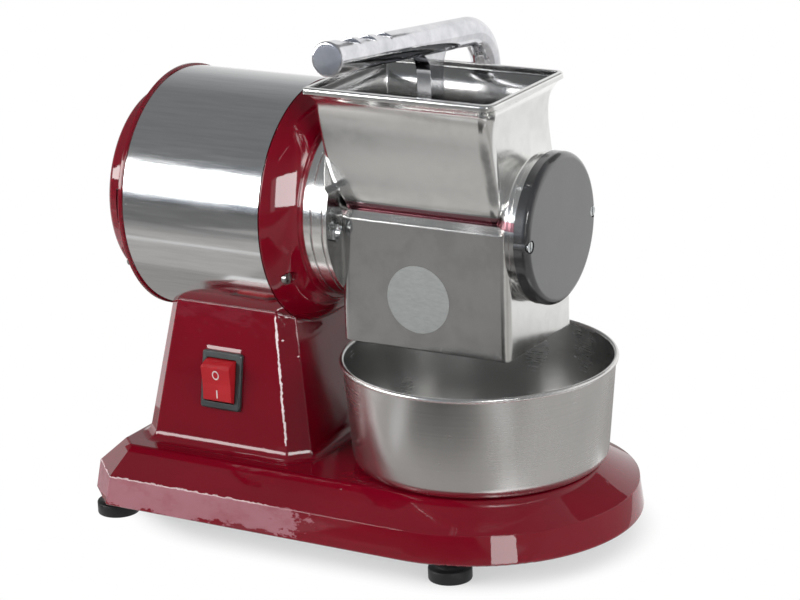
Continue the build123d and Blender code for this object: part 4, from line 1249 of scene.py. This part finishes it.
@dataclass
class Head(SubAssembly):
    """The polished head with its black bearing cover, nuts and the blank sticker."""

    wears: Wears = {
        Finish.CASTING: ("head_casting",),
        Finish.BLACK_PLASTIC: ("bearing_cover",),
        Finish.RUBBER: ("shaft_seal",),
        Finish.BRONZE: ("outboard_bush",),
        Finish.ZINC: ("head_studs", "head_nuts", "cover_screws"),
    }
    sticker_centre: Point = (42.05 * MM, -35.0 * MM, 129.7 * MM)
    sticker_radius: float = 17.3 * MM
    sticker_thickness: float = 0.12 * MM
    face_shares: Pair = (0.12, 0.97)
    face_rings: int = 7
    edge_rings: int = 5
    facets: int = 96

    def build(self, materials: Materials) -> None:
        """Makes the sticker on the chamber's long side and lets it ride on the machine.

        Args:
            materials: The finishes' materials.
        """
        wall = upright_frame(self.sticker_centre, (1.0, 0.0, 0.0), (0.0, -1.0, 0.0))
        surface, material = self.sticker_surface(), materials[Finish.PAPER]
        sticker = new_piece("blank_sticker", surface, wall, material)
        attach(sticker, Body.MACHINE.value)

    def sticker_surface(self) -> Surface:
        """A thin round film: a flat profile with a rounded edge, turned about the middle.

        The radius runs out and back as the profile goes over the face and under it. The face lies
        one thickness off the wall, and the edge falls to the wall as a quarter circle.

        Returns:
            The vertices and the faces.
        """
        thick, wide = self.sticker_thickness, self.sticker_radius
        bend = np.linspace(0.0, 0.5 * np.pi, self.edge_rings)
        inner, outer = self.face_shares
        radius = np.concatenate([
            np.linspace(inner, outer, self.face_rings) * wide,
            wide - thick * (1.0 - np.sin(bend)),
            np.array([outer, inner]) * wide,
        ])[:, None]
        height = np.concatenate([
            np.full(self.face_rings, thick), thick * np.cos(bend), np.zeros(2),
        ])[:, None]
        turn = full_turn(self.facets)
        level = np.broadcast_to(height, (height.size, self.facets))
        rings = np.stack([radius * np.cos(turn), radius * np.sin(turn), level], axis=-1)
        return closed_rows(rings, (0.0, 0.0, thick), (0.0, 0.0, 0.0))


@dataclass
class Drum(SubAssembly):
    """The toothed drum on its hubs."""

    wears: Wears = {
        Finish.SATIN: ("grating_drum",),
        Finish.GROUND: ("drum_hub_inner", "drum_hub_outer"),
        Finish.ZINC: ("drum_nut", "drive_pin"),
    }


@dataclass
class PressLever(SubAssembly):
    """The polished lever, its presser and its pin."""

    wears: Wears = {
        Finish.LEVER: ("press_lever", "presser_plate"),
        Finish.GROUND: ("pivot_pin",),
        Finish.ZINC: ("presser_screws", "pivot_clips"),
    }


@dataclass
class CatchBowl(SubAssembly):
    """The loose steel bowl under the chute."""

    wears: Wears = {Finish.SPUN: ("bowl",)}


def flat_stage(name: str, corners: Corners, material: bpy.types.Material) -> bpy.types.Object:
    """A flat four-cornered piece of the stage.

    Args:
        name: Its name.
        corners: Its corners in order.
        material: Its finish.

    Returns:
        The new object.
    """
    mesh = bpy.data.meshes.new(name)
    mesh.from_pydata(corners, [], [(0, 1, 2, 3)])
    mesh.materials.append(material)
    piece = bpy.data.objects.new(name, mesh)
    bpy.context.scene.collection.objects.link(piece)
    return piece


def floor_corners(x: Pair, y: Pair, level: float) -> Corners:
    """The corners of a level card: its reach along X and Y, and its height, in metres."""
    return (x[0], y[0], level), (x[1], y[0], level), (x[1], y[1], level), (x[0], y[1], level)


def wall_corners(start: Pair, end: Pair, start_z: Pair, end_z: Pair) -> Corners:
    """The corners of an upright card: X and Y of its two edges, and each one's foot and top."""
    return (*start, start_z[0]), (*end, end_z[0]), (*end, end_z[1]), (*start, start_z[1])


@dataclass(frozen=True)
class Card:
    """A glowing card on the stage that shows only in the polished surfaces.

    A card with a reach lets shorter and longer rays through, so that only what stands that far off
    shows it.
    """

    name: str
    corners: Corners
    stops: Stops = ((0.0, grey(0.96)), (1.0, grey(1.0)))
    strength: float = 1.0
    reach: Optional[Pair] = None

    def build(self) -> None:
        """Makes the card, with its colours along Y from its front edge to its back one."""
        paint = Paint(self.name)
        across = [corner[1] for corner in self.corners]
        place = paint.add("MapRange", {
            "Value": paint.axis("Y"), "From Min": min(across), "From Max": max(across),
        })
        material = paint.give({
            "Base Color": (0.0, 0.0, 0.0, 1.0),
            "Emission Color": paint.ramp(place.outputs["Result"], self.stops),
            "Emission Strength": self.strength,
            "Specular IOR Level": 0.0,
        })
        if self.reach:
            self.show_within(paint, self.reach)
        card = flat_stage(self.name, self.corners, material)
        for ray in ("camera", "diffuse", "shadow", "transmission", "volume_scatter"):
            setattr(card, "visible_" + ray, False)

    def show_within(self, paint: Paint, reach: Pair) -> None:
        """Lets rays outside a range of lengths pass through the card.

        Args:
            paint: The card's node tree.
            reach: The shortest and the longest ray that shows the card, in metres.
        """
        middle, half = (reach[0] + reach[1]) / 2.0, (reach[1] - reach[0]) / 2.0
        length = paint.add("LightPath").outputs["Ray Length"]
        shown = paint.add("Math", {0: length, 1: middle, 2: half}, operation="COMPARE")
        clear = paint.add("BsdfTransparent").outputs["BSDF"]
        paint.blend(shown.outputs["Value"], clear, paint.shader.outputs["BSDF"])


def studio_cards() -> List[Card]:
    """Glowing cards that show only in reflections: the tabletop round the machine, patches on it, a
    wall, a canopy and pale sheets.

    Returns:
        The cards in the order in which they are made.
    """
    low, high, upper = 2.0 * MM, 3.0 * MM, 4.0 * MM
    front = (
        (0.0, grey(0.12)), (0.881, grey(0.14)), (0.912, grey(0.45, 0.02)),
        (0.959, grey(0.45, 0.02)), (0.976, grey(0.34, 0.03)), (1.0, grey(0.34, 0.03)),
    )
    right = (
        (0.0, grey(0.42, 0.02)), (0.19, grey(0.43, 0.02)), (0.27, grey(0.80)), (1.0, grey(0.86)),
    )
    left = ((0.0, grey(0.36, 0.03)), (1.0, grey(0.32, 0.03)))
    dark = ((0.0, grey(0.05, 0.03)), (0.75, grey(0.07, 0.03)), (1.0, grey(0.20, 0.03)))
    shade = ((0.0, grey(0.18)), (1.0, grey(0.20)))
    pale = (
        (0.0, grey(0.48, 0.03)), (0.385, grey(0.49, 0.03)), (0.41, grey(0.88)),
        (0.46, grey(0.88)), (0.485, grey(0.49, 0.03)), (1.0, grey(0.50, 0.03)),
    )
    gleam = ((0.0, grey(0.60)), (1.0, grey(0.66)))
    dusk = ((0.0, grey(0.22)), (1.0, grey(0.40, 0.02)))
    wall, sky, edge, strip = (0.0, 0.45), (1.15, 3.2), (0.17, 0.50), (0.005, 0.021)
    return [
        Card("front_table", floor_corners((-6.0, 6.0), (-6.0, -0.10), low), front),
        Card("right_table", floor_corners((0.16, 3.0), (-0.10, 1.5), low), right),
        Card("back_table", floor_corners((-0.10, 0.16), (0.10, 0.26), low), left),
        Card("left_table", floor_corners((-0.30, -0.142), (-0.10, 0.5), low), left),
        Card("left_wall", wall_corners((-1.5, 0.30), (-1.3, 1.60), wall, wall)),
        Card("dark_patch", floor_corners((-0.04, 0.165), (-0.42, -0.165), high), dark),
        Card("dark_left", floor_corners((-3.0, -0.33), (-1.5, -0.40), high), shade),
        Card("dusk_left", floor_corners((-0.50, -0.225), (-0.42, -0.30), upper), dusk),
        Card("gleam_left", floor_corners((-0.080, -0.045), (-0.20, -0.13), high), gleam),
        Card("gleam_right", floor_corners((0.185, 0.225), (-0.20, -0.125), high), gleam),
        Card("light_left", floor_corners((-0.60, -0.13), (-0.32, -0.10), high), pale),
        Card("canopy", wall_corners((-0.4, 2.0), (1.7, 2.0), sky, sky), shade),
        Card(
            "pale_screen",
            wall_corners((0.395, -0.486), (0.60, -0.04), (0.209, 0.489), (0.13, 0.345)),
            strength=11.0, reach=(0.552, 1.2),
        ),
        Card("screen_edge", wall_corners((0.34, -0.60), (0.395, -0.486), edge, edge)),
        Card(
            "pale_strip", wall_corners((0.129, -0.1155), (0.1515, -0.097), strip, strip),
            strength=6.5, reach=(0.0, 66.0 * MM),
        ),
    ]


@dataclass(frozen=True)
class Lamp:
    """An upright panel of light that faces the machine's upright axis.

    Its azimuth is measured from the front towards the left, in radians.
    """

    name: str
    azimuth: float
    distance: float
    height: float
    size: Pair
    power: float
    colour: Colour = (1.0, 0.99, 0.97)
    shows: bool = True

    def build(self) -> None:
        """Hangs the panel, which shows in polished surfaces or leaves no image of itself."""
        lamp = bpy.data.lights.new(self.name, "AREA")
        lamp.shape = "RECTANGLE"
        lamp.size, lamp.size_y = self.size
        lamp.energy = self.power
        lamp.color = self.colour
        piece = bpy.data.objects.new(self.name, lamp)
        back = np.array([-math.sin(self.azimuth), -math.cos(self.azimuth), 0.0])
        across = np.array([-back[1], back[0], 0.0])
        place = back * self.distance + np.array([0.0, 0.0, self.height])
        piece.matrix_world = axes_at(place, across, np.cross(back, across), back)
        piece.visible_glossy = self.shows
        bpy.context.scene.collection.objects.link(piece)


@dataclass
class Studio:
    """A white floor, a window of light on the left, a soft fill, a room, cards and the camera."""

    azimuth: float = math.radians(29.87)
    elevation: float = math.radians(17.63)
    roll: float = math.radians(-1.92)
    distance: float = 1435.81 * MM
    target: Point = (11.70 * MM, 0.0, 115.56 * MM)
    lens: float = 126.77
    sensor: float = 36.0
    clip: Pair = (0.05, 50.0)
    floor_reach: Pair = (-6.0, 6.0)
    floor_tones: Pair = (0.80, 0.82)
    middle_line: float = 56.0 * MM
    shadow_reach: Pair = (70.0 * MM, 94.0 * MM)
    shadow_glow: float = 0.45
    window: Lamp = Lamp("window", math.radians(48.5), 1.6, 0.605, (1.26, 0.65), 23.5)
    fill: Lamp = Lamp("fill", math.radians(-72.0), 1.5, 0.75, (1.2, 1.0), 16.0, shows=False)
    room_way: Point = (0.35, 0.94, -0.20)
    room: Stops = (
        (0.0, (0.35, 0.39, 0.46)),
        (0.05, (0.21, 0.215, 0.22)),
        (0.50, (0.22, 0.225, 0.23)),
        (0.68, (0.40, 0.405, 0.41)),
        (0.82, (0.85, 0.85, 0.85)),
        (0.92, (1.0, 1.0, 1.0)),
    )

    def build(self) -> None:
        """Makes the room, the floor, the cards, the lamps and the camera."""
        self.make_world()
        self.make_floor()
        for light in (*studio_cards(), self.window, self.fill):
            light.build()
        self.make_camera()
        bpy.context.scene.view_settings.view_transform = "Standard"
        LOG.info("built the studio")

    def make_world(self) -> None:
        """Fills the room with light: dark in front and overhead, white behind the machine."""
        world = bpy.data.worlds.new("room")
        bpy.context.scene.world = world
        world.use_nodes = True
        graph = NodeGraph(world.node_tree)
        way = graph.add("TexCoord").outputs["Generated"]
        share = graph.vector("DOT_PRODUCT", way, self.room_way)["Value"]
        place = graph.add("MapRange", {"Value": share, "From Min": -1.0, "From Max": 1.0})
        light = graph.add("Background", {"Color": graph.ramp(place.outputs["Result"], self.room)})
        graph.add("OutputWorld", {"Surface": light.outputs["Background"]})

    def make_floor(self) -> None:
        """Lays the floor, which shows white to the camera and in reflections, with the shadow."""
        paint = Paint("white_floor")
        tones = [(place, grey(tone)) for place, tone in zip(UP, self.floor_tones)]
        material = paint.give({
            "Base Color": paint.ramp(paint.noise(scale=60.0), tones),
            "Roughness": 0.9,
            "Specular IOR Level": 0.0,
        })
        rays = paint.add("LightPath").outputs
        kinds = ("Is Camera Ray", "Is Glossy Ray", "Is Transmission Ray")
        seen = paint.most(*(rays[kind] for kind in kinds))
        glow = (self.shadow_glow, 1.0)
        share = paint.spread(self.way_from_base(paint), self.shadow_reach, glow)
        white = paint.add("Emission").outputs["Emission"]
        paint.blend(paint.product(seen, share), paint.shader.outputs["BSDF"], white)
        flat_stage("floor", floor_corners(self.floor_reach, self.floor_reach, 0.0), material)

    def way_from_base(self, paint: Paint) -> Socket:
        """The distance on the floor from the base's middle line.

        The line's ends lie half a base's width inside the base. The distance is the length of what
        is left of (|x|, |y|) once half the line is taken off, and nothing is below 0.

        Args:
            paint: The floor's node tree.

        Returns:
            The distance in metres.
        """
        none = (0.0, 0.0, 0.0)
        place = paint.vector("ABSOLUTE", paint.mapped((1.0, 1.0, 0.0)))["Vector"]
        place = paint.vector("SUBTRACT", place, (self.middle_line, 0.0, 0.0))["Vector"]
        return paint.vector("LENGTH", paint.vector("MAXIMUM", place, none)["Vector"])["Value"]

    def make_camera(self) -> None:
        """Puts the camera where the photograph was taken, with its slight roll."""
        lens = bpy.data.cameras.new("camera")
        lens.lens = self.lens
        lens.sensor_width = self.sensor
        lens.sensor_fit = "HORIZONTAL"
        lens.clip_start, lens.clip_end = self.clip
        sine, cosine = math.sin(self.azimuth), math.cos(self.azimuth)
        level = math.cos(self.elevation)
        across = np.array([cosine, sine, 0.0])
        back = np.array([sine * level, -cosine * level, math.sin(self.elevation)])
        up = np.cross(back, across)
        right = math.cos(self.roll) * across + math.sin(self.roll) * up
        head = -math.sin(self.roll) * across + math.cos(self.roll) * up
        piece = bpy.data.objects.new("camera", lens)
        place = np.array(self.target) + self.distance * back
        piece.matrix_world = axes_at(place, right, head, back)
        bpy.context.scene.collection.objects.link(piece)
        bpy.context.scene.camera = piece


def main() -> None:
    """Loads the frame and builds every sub-assembly in order."""
    logging.basicConfig(level=logging.INFO, format="%(name)s: %(message)s")
    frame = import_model()
    materials = {finish: finish.value.build() for finish in Finish}
    parts = (Base(), Switch(), Motor(), Head(), Drum(), PressLever(), CatchBowl())
    for part in parts:
        part.dress(frame, materials)
    for part in parts:
        part.build(materials)
    Studio().build()


if __name__ == "__main__":
    main()
